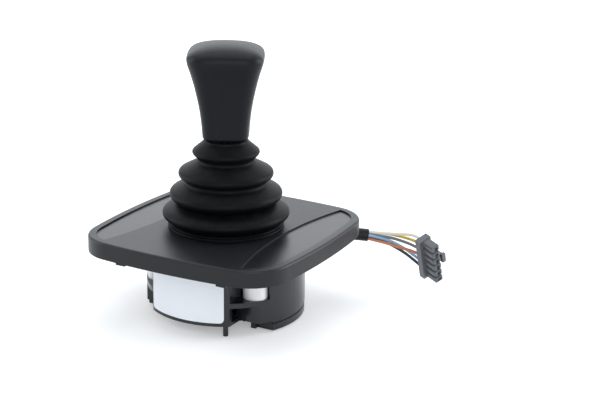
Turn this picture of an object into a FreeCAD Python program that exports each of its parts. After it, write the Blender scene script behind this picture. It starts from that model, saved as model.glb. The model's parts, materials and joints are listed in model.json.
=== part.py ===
"""Two-axis panel joystick with a gaiter, a square bezel, a round base and a short harness.

Millimetres. The origin is the centre of the panel face, under the bezel's rim.
+Z runs up along the lever, -Y is the operator's side.
"""

import FreeCAD, Part
import math
import os
import re

import Sketcher

Vector = FreeCAD.Vector
Rotation = FreeCAD.Rotation
UP = Vector(0, 0, 1)

doc = FreeCAD.newDocument("Joystick")
sheet = doc.addObject("Spreadsheet::Sheet", "Sizes")

# Driving dimensions, and the values that follow from them

SIZES = {
    # bezel
    "bezel_width": 108,
    "bezel_bow": 4.3,
    "bezel_corner": 19.9,
    "bezel_height": 8,
    "bezel_skin": 2.5,
    "rim_wall": 2.5,
    "rim_round": 1.2,
    "bezel_hole": 24.5,
    "scoop_depth": 0.7,
    "scoop_edge": 4,
    "scoop_belly": 30,
    "scoop_tip": 75,
    "lug_inset": 5.5,
    "lug_from_corner": 7.1,
    "lug_width": 5,
    "lug_wall": 1.6,
    "lug_drop": 2.5,
    "rib_wall": 1.4,
    "rib_bottom": 1.5,
    "rib_sink": 0.5,
    "rib_width": 0.7,
    # plate under the bezel
    "plate_margin": 3.4,
    "plate_thickness": 2,
    "plate_top": 0.5,
    "plate_hole": 14,
    # panel screws
    "panel_inset": 15,
    "insert_radius": 2.8,
    "insert_length": 5,
    "base_insert_length": 4.5,
    "panel_thread": 1.65,
    "panel_boss": 5,
    # base screws and their white spacers
    "spacer_aside": 26.4,
    "spacer_front": 17.4,
    "spacer_rear": 31.6,
    "spacer_radius": 5.8,
    "spacer_length": 16.2,
    "screw_radius": 2,
    "screw_clearance": 0.25,
    "screw_head": 3.5,
    "screw_head_height": 3,
    "bezel_boss": 3.7,
    # base housing
    "base_radius": 38,
    "base_wall": 2.2,
    "base_bottom": -29,
    "ledge": 2.4,
    "seat_depth": 3.4,
    "pocket_gap": 1.1,
    "column_wall": 1.8,
    "notch_side": 21,
    "notch_upper": 17,
    "notch_lower": 22,
    "notch_wall": 2,
    "window_sill": 1.5,
    "rib_depth": 0.8,
    "rib_first": 0.1,
    "rib_step": 1.7,
    "peg_radius": 1.25,
    "peg_length": 5.6,
    "peg_inset": 3.3,
    "peg_angle": -59.2,
    # lower cover
    "cover_shy": 0.2,
    "cover_depth": 4.8,
    "cover_wall": 2,
    "cover_front": 8,
    "cover_ear": 15.2,
    "cover_inner": 24,
    "cover_tab": 2.5,
    "cover_tab_reach": 2.2,
    "cover_groove": 0.8,
    "cover_boss_inset": 2.7,
    "cover_post": 3.2,
    "cover_post_top": -20,
    "cover_sink": 1.8,
    "cover_screw_radius": 1.25,
    "cover_screw_head": 2.4,
    # label on the base wall
    "label_thickness": 0.12,
    "label_start": -122.4,
    "label_end": -60.4,
    "label_bottom": -27.3,
    "label_top": -3.5,
    # lever and gimbal
    "pivot_height": -9,
    "shaft_radius": 5,
    "shaft_top": 51,
    "thread_radius": 4,
    "thread_top": 74,
    "hub_radius": 8,
    "hub_height": 12,
    "ring_bore": 10.5,
    "ring_radius": 15,
    "ring_height": 9,
    "pin_radius": 2,
    "running_gap": 0.03,
    "press_gap": 0.02,
    "bush_wall": 1.4,
    "bush_flange": 1,
    "frame_bore": 16.5,
    "frame_radius": 22,
    "frame_bottom": -14,
    "frame_screw_circle": 19.2,
    "frame_screw_angle": 45,
    "frame_screw_radius": 1.5,
    "frame_screw_head": 2.6,
    "frame_thread_end": -9,
    "leg_circle": 19.2,
    "leg_angle": 21,
    "leg_radius": 2.4,
    "board_screw_radius": 1.25,
    "board_screw_head": 2.2,
    # tilt gate and centring spring
    "gate_height": 3,
    "gate_half": 9.7,
    "gate_corner": 4,
    "spring_wire": 1.6,
    "spring_foot": 15.2,
    "spring_head": 8.6,
    "spring_height": 24,
    "spring_turns": 5,
    "collar_radius": 10.5,
    "collar_height": 3,
    "clip_thickness": 1.2,
    "clip_radius": 8,
    "clip_groove": 4.2,
    # sensor under the lever
    "holder_radius": 5,
    "holder_length": 5.4,
    "magnet_radius": 3,
    "magnet_length": 2.5,
    "board_gap": 0.9,
    "board_thickness": 1.6,
    "board_top": -23.4,
    "chip_size": 3,
    "chip_height": 1,
    "chip_pitch": 7,
    "header_length": 12,
    "header_width": 5,
    "header_height": 2.4,
    "header_circle": 18.9,
    # gaiter
    "gaiter_wall": 1.9,
    "gaiter_neck_radius": 10.4,
    "gaiter_neck_top": 50.4,
    "fold1_radius": 15.7,
    "fold1_height": 44,
    "fold2_radius": 22.3,
    "fold2_height": 33.7,
    "fold3_radius": 26.4,
    "fold3_height": 24.9,
    "fold4_radius": 30.1,
    "fold4_height": 15,
    "valley1_radius": 12.6,
    "valley2_radius": 17.6,
    "valley3_radius": 21.6,
    "foot_reach": 1.7,
    "lip_reach": 3.1,
    "gaiter_lip": 1.5,
    "gaiter_foot": 3.5,
    "flange_reach": 2.5,
    "crest_round": 1.5,
    "clamp_reach": 3.2,
    "clamp_gap": 0.6,
    # knob
    "knob_turn": 28.5,
    "knob_bottom": 51.6,
    "knob_height": 45.3,
    "knob_half": 18,
    "knob_corner": 0.5,
    "knob_bow": 0.07,
    "nut_recess_radius": 8.2,
    "nut_recess_depth": 7,
    "nut_flats": 13,
    "nut_height": 5,
    "knob_insert_radius": 6,
    "knob_insert_length": 17,
    # harness
    "wire_radius": 0.75,
    "jacket_radius": 3.1,
    "grommet_radius": 4.2,
    "grommet_flange": 5.6,
    "grommet_relief": 0.5,
    "lead_inset": 3.8,
    "bundle_drop": 7.3,
    "bundle_low": 10.1,
    "inner_lead_radius": 1.8,
    "lead_turn": 28.5,
    "lead_exit_angle": 53.5,
    "lead_height": -5.5,
    "ways": 6,
    "way_pitch": 3.96,
    "plug_thickness": 7,
    "plug_flange": 3.4,
    "plug_low": 3.9,
    "plug_end": 2,
    "snout_width": 3.3,
    "snout_thickness": 4.6,
    "snout_length": 7.2,
    "nose_round": 0.8,
    "cavity_radius": 1.1,
    "terminal_bore": 0.7,
    "wire_depth": 1,
    "latch_width": 5,
    "latch_wall": 1.2,
    "latch_gap": 1,
    "latch_length": 9.5,
}

# Values that are worked out in the sheet from the ones above

DERIVED = {
    "half_width": "bezel_width / 2",
    "side_radius": "(half_width * half_width + bezel_bow * bezel_bow) / (2 * bezel_bow)",
    "bezel_under": "bezel_height - bezel_skin",
    "lug_offset": "half_width - lug_inset",
    "lug_spread": "half_width - bezel_corner - lug_from_corner",
    "panel_pitch": "2 * (half_width - panel_inset)",
    "clamp_inner": "bezel_hole - gaiter_wall",
    "clamp_outer": "bezel_hole + clamp_reach",
    "gaiter_foot_radius": "bezel_hole + foot_reach",
    "gaiter_lip_radius": "bezel_hole + lip_reach",
    "gaiter_flange": "bezel_hole + flange_reach",
    "gate_radius": "clamp_inner - clamp_gap",
    "rib_ring": "clamp_outer + clamp_gap",
    "rib_reach": "half_width - rim_wall + rib_sink",
    "plate_radius": "min(base_radius + plate_margin; panel_pitch * sqrt(0.5) - panel_boss - 1)",
    "plate_under": "plate_top - plate_thickness",
    "spacer_bottom": "plate_under - spacer_length",
    "ledge_bottom": "spacer_bottom - ledge",
    "pocket_radius": "spacer_radius + pocket_gap",
    "column_radius": "pocket_radius + column_wall",
    "spacer_circle": "sqrt(spacer_aside * spacer_aside + spacer_front * spacer_front)",
    "seat_height": "spacer_bottom - seat_depth",
    "notch_edge": "sqrt(base_radius * base_radius - notch_side * notch_side)",
    "peg_circle": "base_radius - peg_inset",
    "board_radius": "spacer_circle - column_radius - board_gap",
    "lead_start": "base_radius - lead_inset",
    "cover_bottom": "base_bottom - cover_depth",
    "cover_radius": "base_radius - cover_shy",
    "cover_boss_circle": "base_radius - base_wall - cover_boss_inset",
    "gate_top": "plate_top + gate_height",
    "hub_bottom": "pivot_height - hub_height / 2",
    "bush_radius": "pin_radius + running_gap + bush_wall",
    "board_bottom": "board_top - board_thickness",
    "collar_bottom": "gate_top + spring_height",
    "collar_top": "collar_bottom + collar_height",
    "insert_bottom": "knob_bottom + nut_recess_depth",
    "plug_length": "(ways - 1) * way_pitch + 2 * plug_end",
    "side_lift": "side_radius - half_width",
    "arc_reach": "side_radius - bezel_corner",
    "arc_centre": "(sqrt(2 * arc_reach * arc_reach - side_lift * side_lift) - side_lift) / 2",
    "scoop_tip_x": "arc_centre + (bezel_corner - scoop_edge) * cos(scoop_tip * 1 deg)",
    "scoop_tip_y": "arc_centre + (bezel_corner - scoop_edge) * sin(scoop_tip * 1 deg)",
    "scoop_rise": "scoop_tip_x - scoop_belly",
    "scoop_radius": "(scoop_tip_y * scoop_tip_y + scoop_rise * scoop_rise) / (2 * scoop_rise)",
    "knob_side": "(1 + knob_bow * knob_bow) / (2 * knob_bow)",
    "knob_lift": "knob_side - 1",
    "knob_reach": "knob_side - knob_corner",
    "knob_centre": "(sqrt(2 * knob_reach * knob_reach - knob_lift * knob_lift) - knob_lift) / 2",
}

WORD = re.compile(r"[a-z][a-z0-9_]*")


def bound(text):
    """An expression whose sheet names carry the sheet's own name."""
    return WORD.sub(lambda m: "Sizes." + m.group() if m.group() in ALIASES else m.group(), str(text))


def value(text):
    """What an expression is worth now."""
    return float(sheet.evalExpression(bound(text)))


ALIASES = set(SIZES) | set(DERIVED)
for row, (alias, number) in enumerate(SIZES.items(), start=1):
    sheet.set("A%d" % row, alias)
    sheet.set("B%d" % row, str(number))
    sheet.setAlias("B%d" % row, alias)
for row, (alias, formula) in enumerate(DERIVED.items(), start=len(SIZES) + 2):
    sheet.set("A%d" % row, alias)
    sheet.set("B%d" % row, "=" + formula)
    sheet.setAlias("B%d" % row, alias)
doc.recompute()

PARTS = []


def keep(thing, label):
    """Name a finished sub-part and put it on the list of files."""
    thing.Label = label
    PARTS.append(thing)
    return thing


def bind(thing, **sizes):
    """Tie properties to expressions of the sheet."""
    for name, text in sizes.items():
        thing.setExpression(name, bound(text))
    return thing


def place(thing, x=0, y=0, z=0, turn=None):
    """Set a placement whose base is tied to the sheet."""
    rotation = turn or Rotation()
    thing.Placement = FreeCAD.Placement(Vector(value(x), value(y), value(z)), rotation)
    for axis, text in zip("xyz", (x, y, z)):
        if not isinstance(text, (int, float)):
            thing.setExpression("Placement.Base." + axis, bound(text))
    return thing


# Sketch helpers


def new_sketch(body, role, lift=0):
    """A sketch on one of a body's own planes, lifted along its normal."""
    plane = [f for f in body.Origin.OriginFeatures if f.Role == role][0]
    sketch = body.newObject("Sketcher::SketchObject", "Sketch")
    sketch.AttachmentSupport = [(plane, "")]
    sketch.MapMode = "FlatFace"
    sketch.AttachmentOffset = FreeCAD.Placement(Vector(0, 0, value(lift)), Rotation())
    if not isinstance(lift, (int, float)):
        sketch.setExpression("AttachmentOffset.Base.z", bound(lift))
    return sketch


def pin_point(sketch, geometry, position, x, y):
    """Hold a sketch point at two expressions."""
    for kind, axis, text in (("DistanceX", -2, x), ("DistanceY", -1, y)):
        number = value(text)
        if abs(number) < 1e-9:
            sketch.addConstraint(Sketcher.Constraint("PointOnObject", geometry, position, axis))
            continue
        index = sketch.addConstraint(
            Sketcher.Constraint(kind, -1, 1, geometry, position, number))
        sketch.setExpression("Constraints[%d]" % index, bound(text))


def outline(sketch, corners):
    """A closed outline: each corner is (x, y) or (x, y, radius) with an arc to the next corner.

    A positive radius bulges to the right of the way round, a negative one to the left.
    """
    points = [Vector(value(c[0]), value(c[1]), 0) for c in corners]
    starts = []
    ends = []
    for i, corner in enumerate(corners):
        a = points[i]
        b = points[(i + 1) % len(points)]
        if len(corner) == 2:
            index = sketch.addGeometry(Part.LineSegment(a, b))
            starts.append((index, 1))
            ends.append((index, 2))
            continue
        radius = value(corner[2])
        chord = b - a
        across = Vector(chord.y, -chord.x, 0).normalize()
        sagitta = abs(radius) - math.sqrt(max(radius * radius - chord.Length ** 2 / 4, 0))
        middle = (a + b) * 0.5 + across * math.copysign(sagitta, radius)
        if radius > 0:
            index = sketch.addGeometry(Part.Arc(a, middle, b))
            starts.append((index, 1))
            ends.append((index, 2))
        else:
            index = sketch.addGeometry(Part.Arc(b, middle, a))
            starts.append((index, 2))
            ends.append((index, 1))
        text = corner[2] if radius > 0 else "-(%s)" % corner[2]
        size = sketch.addConstraint(Sketcher.Constraint("Radius", index, abs(radius)))
        sketch.setExpression("Constraints[%d]" % size, bound(text))
    for i, corner in enumerate(corners):
        here = starts[i]
        before = ends[i - 1]
        sketch.addConstraint(Sketcher.Constraint("Coincident", before[0], before[1], *here))
        pin_point(sketch, here[0], here[1], corner[0], corner[1])


def circle(sketch, radius, x=0, y=0):
    """A full circle tied to the sheet."""
    centre = Vector(value(x), value(y), 0)
    index = sketch.addGeometry(Part.Circle(centre, UP, value(radius)))
    pin_point(sketch, index, 3, x, y)
    size = sketch.addConstraint(Sketcher.Constraint("Radius", index, value(radius)))
    sketch.setExpression("Constraints[%d]" % size, bound(radius))


def feature(body, kind, sketch, **sizes):
    """A feature of a body that uses a sketch."""
    made = body.newObject("PartDesign::" + kind, kind)
    made.Profile = sketch
    bind(made, **sizes)
    return made


def new_body(name="Body"):
    return doc.addObject("PartDesign::Body", name)


def turned(profile, name="Body"):
    """A body of revolution about Z from a closed (radius, height) profile."""
    body = new_body(name)
    sketch = new_sketch(body, "XZ_Plane")
    outline(sketch, profile)
    spin = feature(body, "Revolution", sketch)
    spin.ReferenceAxis = (sketch, ["V_Axis"])
    spin.Angle = 360
    return body


def tube(inner, outer, low, high, name="Tube"):
    """A plain ring or bush, from its radii and its heights."""
    return turned([(inner, low), (outer, low), (outer, high), (inner, high)], name)


def rod(radius, low, high, name="Rod"):
    """A plain pin."""
    return tube("0", radius, low, high, name)


def group(label, members):
    """Identical pieces in one node."""
    bundle = doc.addObject("Part::Compound", "Group")
    bundle.Links = members
    return keep(bundle, label)


def polar(radius, angle):
    """Expressions for x and y of a point at a radius and an angle in degrees."""
    return "%s * cos(%s * 1 deg)" % (radius, angle), "%s * sin(%s * 1 deg)" % (radius, angle)


def rounded_square(x, y, side, corner):
    """Bowed sides and tangent corner arcs, from the tangent point at the right end of the front side."""
    x, y = "(%s)" % x, "(%s)" % y
    return [
        ("-" + x, y, side), (x, y, corner),
        ("-" + y, "-" + x, side), ("-" + y, x, corner),
        (x, "-" + y, side), ("-" + x, "-" + y, corner),
        (y, x, side), (y, "-" + x, corner),
    ]


# Part helpers


def cylinder(radius, low, high, x=0, y=0):
    """A cylinder along Z between two heights."""
    made = doc.addObject("Part::Cylinder", "Cylinder")
    bind(made, Radius=radius, Height="(%s) - (%s)" % (high, low))
    return place(made, x, y, low)


def rod_shape(radius, length):
    """A cylinder that stands on the origin."""
    made = doc.addObject("Part::Cylinder", "Cylinder")
    return bind(made, Radius=radius, Height=length)


def crossways(radius, start, end, axis, height):
    """A cylinder along X or Y between two places, at a height."""
    made = doc.addObject("Part::Cylinder", "Cylinder")
    bind(made, Radius=radius, Height="(%s) - (%s)" % (end, start))
    if axis == "X":
        return place(made, start, 0, height, Rotation(UP, Vector(1, 0, 0)))
    return place(made, 0, start, height, Rotation(UP, Vector(0, 1, 0)))


def box(x, y, z, long, wide, high):
    """A box from its low corner."""
    made = doc.addObject("Part::Box", "Box")
    bind(made, Length=long, Width=wide, Height=high)
    return place(made, x, y, z)


def fuse(members):
    if len(members) == 1:
        return members[0]
    made = doc.addObject("Part::MultiFuse", "Fuse")
    made.Shapes = members
    return made


def cut(base, tools):
    made = doc.addObject("Part::Cut", "Cut")
    made.Base = base
    made.Tool = fuse(tools)
    return made


def common(base, tool):
    made = doc.addObject("Part::Common", "Common")
    made.Base = base
    made.Tool = tool
    return made


def edges_of(feature_object, test):
    """Names of the edges of a feature that pass a test."""
    doc.recompute()
    edges = feature_object.Shape.Edges
    return ["Edge%d" % (i + 1) for i, edge in enumerate(edges) if test(edge)]


def rounded(body, feature_object, radius, test):
    """Fillet the edges of a body's last feature that pass a test."""
    made = body.newObject("PartDesign::Fillet", "Fillet")
    made.Base = (feature_object, edges_of(feature_object, test))
    bind(made, Radius=radius)
    return made


def flat_at(height):
    """A test for edges that lie level at a height."""
    def test(edge):
        level = value(height)
        box_of = edge.BoundBox
        return abs(box_of.ZMin - level) < 1e-4 and abs(box_of.ZMax - level) < 1e-4
    return test


def ring_of(radius, angle, count):
    """Expressions for the centres of equally spaced pieces."""
    return [polar(radius, "(%s + %g)" % (angle, 360 * i / count)) for i in range(count)]


SPACER_PLACES = [("spacer_aside", "-spacer_front"), ("-spacer_aside", "-spacer_front"), ("0", "spacer_rear")]
FRAME_SCREW_PLACES = ring_of("frame_screw_circle", "frame_screw_angle", 4)
LEG_PLACES = ring_of("leg_circle", "leg_angle", 3)
COVER_SCREW_PLACES = [polar("cover_boss_circle", "20"), polar("cover_boss_circle", "142")]
PANEL_PLACES = [("%spanel_pitch / 2" % a, "%spanel_pitch / 2" % b) for a in ("", "-") for b in ("", "-")]


# Bezel


def bezel_outline(inset):
    """The bezel's outline seen from above, moved inwards by an inset."""
    side = "(side_radius - %s)" % inset
    x = "%s * arc_centre / arc_reach" % side
    y = "side_lift - %s * (arc_centre + side_lift) / arc_reach" % side
    return rounded_square(x, y, side, "(bezel_corner - %s)" % inset)


def scoop_outline(sign):
    """A crescent along one side, from the corner arcs inwards to a bowed inner edge."""
    side = "(side_radius - scoop_edge)"
    corner = "(bezel_corner - scoop_edge)"
    x = "(%s * arc_centre / arc_reach)" % side
    y = "(side_lift - %s * (arc_centre + side_lift) / arc_reach)" % side
    if sign > 0:
        return [("scoop_tip_x", "-scoop_tip_y", corner), ("-" + y, "-" + x, side), ("-" + y, x, corner),
                ("scoop_tip_x", "scoop_tip_y", "scoop_radius")]
    return [("-scoop_tip_x", "scoop_tip_y", corner), (y, x, side), (y, "-" + x, corner),
            ("-scoop_tip_x", "-scoop_tip_y", "scoop_radius")]


def rectangle(sketch, x, y, long, wide):
    """A rectangle about a centre."""
    left, right = "%s - %s / 2" % (x, long), "%s + %s / 2" % (x, long)
    near, far = "%s - %s / 2" % (y, wide), "%s + %s / 2" % (y, wide)
    outline(sketch, [(left, near), (right, near), (right, far), (left, far)])


def pocket_up(body, sketch, **sizes):
    made = feature(body, "Pocket", sketch, **sizes)
    made.Reversed = True
    return made


def make_bezel():
    """Moulded bezel: skin, rim, finger scoops, screw bosses, stiffening ribs and panel lugs."""
    body = new_body("Bezel")
    edge = new_sketch(body, "XY_Plane")
    outline(edge, bezel_outline("0"))
    slab = feature(body, "Pad", edge, Length="bezel_height")
    rounded(body, slab, "rim_round", flat_at("bezel_height"))
    inside = new_sketch(body, "XY_Plane")
    outline(inside, bezel_outline("rim_wall"))
    pocket_up(body, inside, Length="bezel_under")
    for sign in (1, -1):
        scoop = new_sketch(body, "XY_Plane", "bezel_height")
        outline(scoop, scoop_outline(sign))
        feature(body, "Pocket", scoop, Length="scoop_depth")
    bosses = new_sketch(body, "XY_Plane")
    for x, y in PANEL_PLACES:
        circle(bosses, "panel_boss", x, y)
    feature(body, "Pad", bosses, Length="bezel_under")
    inner_bosses = new_sketch(body, "XY_Plane", "plate_top")
    for x, y in SPACER_PLACES:
        circle(inner_bosses, "bezel_boss", x, y)
    feature(body, "Pad", inner_bosses, Length="bezel_under - plate_top")
    ribs = new_sketch(body, "XY_Plane", "rib_bottom")
    circle(ribs, "rib_ring + rib_wall")
    circle(ribs, "rib_ring")
    feature(body, "Pad", ribs, Length="bezel_under - rib_bottom")
    spokes = new_sketch(body, "XY_Plane", "rib_bottom")
    for side in ("", "-"):
        middle = "%s(rib_ring + rib_reach) / 2" % side
        rectangle(spokes, middle, "0", "(rib_reach - rib_ring)", "rib_wall")
        rectangle(spokes, "0", middle, "rib_wall", "(rib_reach - rib_ring)")
    feature(body, "Pad", spokes, Length="bezel_under - rib_bottom")
    lugs = new_sketch(body, "XY_Plane", "-lug_drop")
    for a in ("", "-"):
        for b in ("", "-"):
            rectangle(lugs, a + "lug_spread", b + "lug_offset", "lug_width", "lug_wall")
            rectangle(lugs, a + "lug_offset", b + "lug_spread", "lug_wall", "lug_width")
    feature(body, "Pad", lugs, Length="bezel_under + lug_drop")
    opening = new_sketch(body, "XY_Plane")
    circle(opening, "bezel_hole")
    pocket_up(body, opening, Length="bezel_height")
    holes = new_sketch(body, "XY_Plane")
    for x, y in PANEL_PLACES:
        circle(holes, "insert_radius", x, y)
    pocket_up(body, holes, Length="insert_length")
    inner_holes = new_sketch(body, "XY_Plane", "plate_top")
    for x, y in SPACER_PLACES:
        circle(inner_holes, "insert_radius", x, y)
    pocket_up(body, inner_holes, Length="base_insert_length")
    return keep(body, "bezel")


def make_inserts():
    """Brass inserts in the bezel, for the panel screws and for the base screws."""
    panel = []
    for x, y in PANEL_PLACES:
        insert = tube("panel_thread", "insert_radius", "0", "insert_length", "Insert")
        panel.append(place(insert, x, y, "0"))
    group("panel_inserts", panel)
    base = []
    for x, y in SPACER_PLACES:
        insert = tube("screw_radius + running_gap", "insert_radius", "0", "base_insert_length", "Insert")
        base.append(place(insert, x, y, "plate_top"))
    group("base_inserts", base)


# Plate, spacers and base


def make_plate():
    """Steel plate that carries the gimbal and hangs under the bezel."""
    body = new_body("Plate")
    face = new_sketch(body, "XY_Plane", "plate_under")
    circle(face, "plate_radius")
    circle(face, "plate_hole")
    for x, y in SPACER_PLACES:
        circle(face, "screw_radius + screw_clearance", x, y)
    for x, y in FRAME_SCREW_PLACES:
        circle(face, "frame_screw_radius + running_gap", x, y)
    feature(body, "Pad", face, Length="plate_thickness")
    return keep(body, "mounting_plate")


def make_spacers():
    """White spacers between the plate and the ledges of the base."""
    made = []
    for x, y in SPACER_PLACES:
        spacer = tube("screw_radius + screw_clearance", "spacer_radius", "spacer_bottom", "plate_under")
        made.append(place(spacer, x, y, "0"))
    group("spacers", made)


def screw(radius, head, head_height, length, socket, name="Screw"):
    """A cap screw that points up from the origin, with its head below it."""
    return turned([
        ("0", "-(%s) + %s" % (head_height, socket)),
        ("%s * 0.55" % head, "-(%s) + %s" % (head_height, socket)),
        ("%s * 0.55" % head, "-(%s)" % head_height),
        (head, "-(%s)" % head_height),
        (head, "0"),
        (radius, "0"),
        (radius, length),
        ("0", length),
    ], name)


def make_base_screws():
    """Long screws from bores in the base through seat, spacer and plate into the bezel."""
    made = []
    for x, y in SPACER_PLACES:
        length = "plate_top + base_insert_length - seat_height - 0.4"
        body = screw("screw_radius", "screw_head", "screw_head_height", length, "screw_head_height / 2")
        made.append(place(body, x, y, "seat_height"))
    group("base_screws", made)


def corner_block(sign, side, front, low, high):
    """What lies beyond a side plane and in front of a front plane, out to past the base wall."""
    start = side if sign > 0 else "-2 * base_radius"
    return box(start, "-2 * base_radius", low, "2 * base_radius - (%s)" % side,
               "2 * base_radius - (%s)" % front, "(%s) - (%s)" % (high, low))


def make_housing():
    """Round base shell with two stepped corner notches, a rear alcove, ribs, posts and a locating peg."""
    outside = cylinder("base_radius", "base_bottom", "plate_under")
    hollow = cylinder("base_radius - base_wall", "base_bottom + base_wall", "plate_under")

    def solid_corners():
        blocks = [cylinder("column_radius", "base_bottom", "plate_under", x, y) for x, y in SPACER_PLACES]
        for sign in (1, -1):
            blocks.append(corner_block(sign, "notch_side - notch_wall", "notch_upper - notch_wall",
                                       "base_bottom", "plate_under"))
        return blocks

    shell = cut(outside, [cut(hollow, solid_corners())])
    bay = common(
        box("-base_radius", "-cover_front + cover_wall", "base_bottom", "2 * base_radius",
            "2 * base_radius", "base_wall"),
        cylinder("base_radius - base_wall", "base_bottom", "base_bottom + base_wall"))
    openings = [cut(bay, solid_corners())]
    for sign in (1, -1):
        openings.append(corner_block(sign, "notch_side", "notch_upper", "spacer_bottom", "plate_under"))
        openings.append(corner_block(sign, "notch_side", "notch_lower", "base_bottom", "ledge_bottom"))
        left = "notch_side - notch_wall" if sign > 0 else "-notch_side"
        openings.append(box(left, "base_wall - notch_edge", "base_bottom + window_sill", "notch_wall",
                            "notch_edge - base_wall - notch_lower",
                            "ledge_bottom - base_bottom - window_sill"))
    for x, y in SPACER_PLACES:
        openings.append(cylinder("pocket_radius", "spacer_bottom", "plate_under", x, y))
        openings.append(cylinder("screw_head + 0.2", "base_bottom", "seat_height", x, y))
        openings.append(cylinder("screw_radius + screw_clearance", "seat_height", "spacer_bottom", x, y))
    openings.append(box("-pocket_radius", "spacer_rear", "spacer_bottom", "2 * pocket_radius",
                        "base_radius", "spacer_length"))
    slot = fuse([
        place(rod_shape("grommet_radius", "base_wall + 4"), 0, 0, 0, Rotation(UP, Vector(1, 0, 0))),
        box("0", "-grommet_radius", "0", "base_wall + 4", "2 * grommet_radius", "plate_under - lead_height")])
    x, y = polar("(base_radius - base_wall - 2)", "lead_exit_angle")
    cable_hole = place(slot, x, y, "lead_height", Rotation(UP, value("lead_exit_angle")))
    openings.append(cable_hole)
    shell = cut(shell, openings)
    x, y = polar("peg_circle", "peg_angle")
    extras = [shell, cylinder("peg_radius", "base_bottom - peg_length", "base_bottom + base_wall", x, y)]
    for x, y in COVER_SCREW_PLACES:
        extras.append(cylinder("cover_post", "base_bottom", "cover_post_top", x, y))
    for i in range(2):
        start = "notch_side + rib_first + %d * rib_step" % i
        for left in (start, "-(%s) - rib_width" % start):
            extras.append(box(left, "-notch_lower - rib_depth", "base_bottom", "rib_width",
                              "rib_depth + 0.5", "ledge_bottom - base_bottom"))
    shell = fuse(extras)
    pilots = []
    for x, y in COVER_SCREW_PLACES:
        pilots.append(cylinder("cover_screw_radius + running_gap", "base_bottom", "cover_post_top - 2", x, y))
    return keep(cut(shell, pilots), "base_housing")


def cover_outline(inset, tab):
    """Round cover with two ears beside a straight front edge, moved inwards by an inset."""
    radius = "(cover_radius - %s)" % inset
    ear = "(cover_ear - %s)" % inset
    inner = "(cover_inner + %s)" % inset
    front = "(cover_front - %s)" % inset
    side = "sqrt(%s * %s - %s * %s)" % (radius, radius, ear, ear)
    tab_side = "(cover_inner + cover_tab)"
    tab_front = "(cover_ear + cover_tab_reach)"
    right = [(inner, "-" + front), (inner, "-" + ear), (side, "-" + ear, radius), ("0", radius, radius)]
    left = [("-" + side, "-" + ear), ("-" + inner, "-" + ear), ("-" + inner, "-" + front)]
    if tab:
        right[1:2] = [(inner, "-" + tab_front), (tab_side, "-" + tab_front), (tab_side, "-" + ear)]
        left[1:2] = [("-" + tab_side, "-" + ear), ("-" + tab_side, "-" + tab_front),
                     ("-" + inner, "-" + tab_front)]
    return right + left


def make_lower_cover():
    """Shallow pan under the rear of the base, with a shadow groove round its upper edge."""
    body = new_body("Cover")
    edge = new_sketch(body, "XY_Plane", "cover_bottom")
    outline(edge, cover_outline("0", True))
    feature(body, "Pad", edge, Length="cover_depth")
    inside = new_sketch(body, "XY_Plane", "base_bottom")
    outline(inside, cover_outline("cover_wall", False))
    feature(body, "Pocket", inside, Length="cover_depth - cover_wall")
    posts = new_sketch(body, "XY_Plane", "cover_bottom")
    for x, y in COVER_SCREW_PLACES:
        circle(posts, "cover_post", x, y)
    feature(body, "Pad", posts, Length="cover_depth")
    holes = new_sketch(body, "XY_Plane", "cover_bottom")
    for x, y in COVER_SCREW_PLACES:
        circle(holes, "cover_screw_radius + 0.15", x, y)
    pocket_up(body, holes, Length="cover_depth")
    sinks = new_sketch(body, "XY_Plane", "cover_bottom")
    for x, y in COVER_SCREW_PLACES:
        circle(sinks, "cover_screw_head + 0.2", x, y)
    pocket_up(body, sinks, Length="cover_sink")
    profile = new_sketch(body, "XZ_Plane")
    outline(profile, [
        ("cover_radius - cover_groove", "base_bottom - 1.6"), ("cover_radius + 2", "base_bottom - 1.6"),
        ("cover_radius + 2", "base_bottom - 1"), ("cover_radius - cover_groove", "base_bottom - 1")])
    groove = feature(body, "Groove", profile)
    groove.ReferenceAxis = (profile, ["V_Axis"])
    groove.Angle = 360
    return keep(body, "lower_cover")


def make_cover_screws():
    made = []
    for x, y in COVER_SCREW_PLACES:
        body = screw("cover_screw_radius", "cover_screw_head", "cover_sink - 0.2",
                     "cover_depth + 4", "0.7")
        made.append(place(body, x, y, "cover_bottom + cover_sink"))
    group("cover_screws", made)


def make_label():
    """Blank label wrapped on the base between two recesses."""
    body = new_body("Label")
    sketch = new_sketch(body, "XZ_Plane")
    inner = "base_radius + 0.01"
    outer = "base_radius + label_thickness"
    outline(sketch, [(inner, "label_bottom"), (outer, "label_bottom"), (outer, "label_top"),
                     (inner, "label_top")])
    spin = feature(body, "Revolution", sketch)
    spin.ReferenceAxis = (sketch, ["V_Axis"])
    bind(spin, Angle="label_end - label_start")
    body.Placement = FreeCAD.Placement(Vector(), Rotation(UP, value("label_start")))
    return keep(body, "label")


# Gimbal and lever


def make_frame():
    """Ring-shaped frame under the plate with bearing bores and three legs for the board."""
    ring = tube("frame_bore", "frame_radius", "frame_bottom", "plate_under", "FrameRing")
    legs = [cylinder("leg_radius", "board_top", "frame_bottom + 1", x, y) for x, y in LEG_PLACES]
    holes = [
        crossways("bush_radius + press_gap", "-frame_radius - 1", "frame_radius + 1", "X", "pivot_height"),
        crossways("bush_radius + 1.1", "-frame_bore", "frame_bore", "X", "pivot_height")]
    for x, y in FRAME_SCREW_PLACES:
        holes.append(cylinder("frame_screw_radius + running_gap", "frame_thread_end", "plate_under", x, y))
    for x, y in LEG_PLACES:
        holes.append(cylinder("board_screw_radius + running_gap", "board_top", "board_top + 6", x, y))
    return keep(cut(fuse([ring] + legs), holes), "gimbal_frame")


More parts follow.
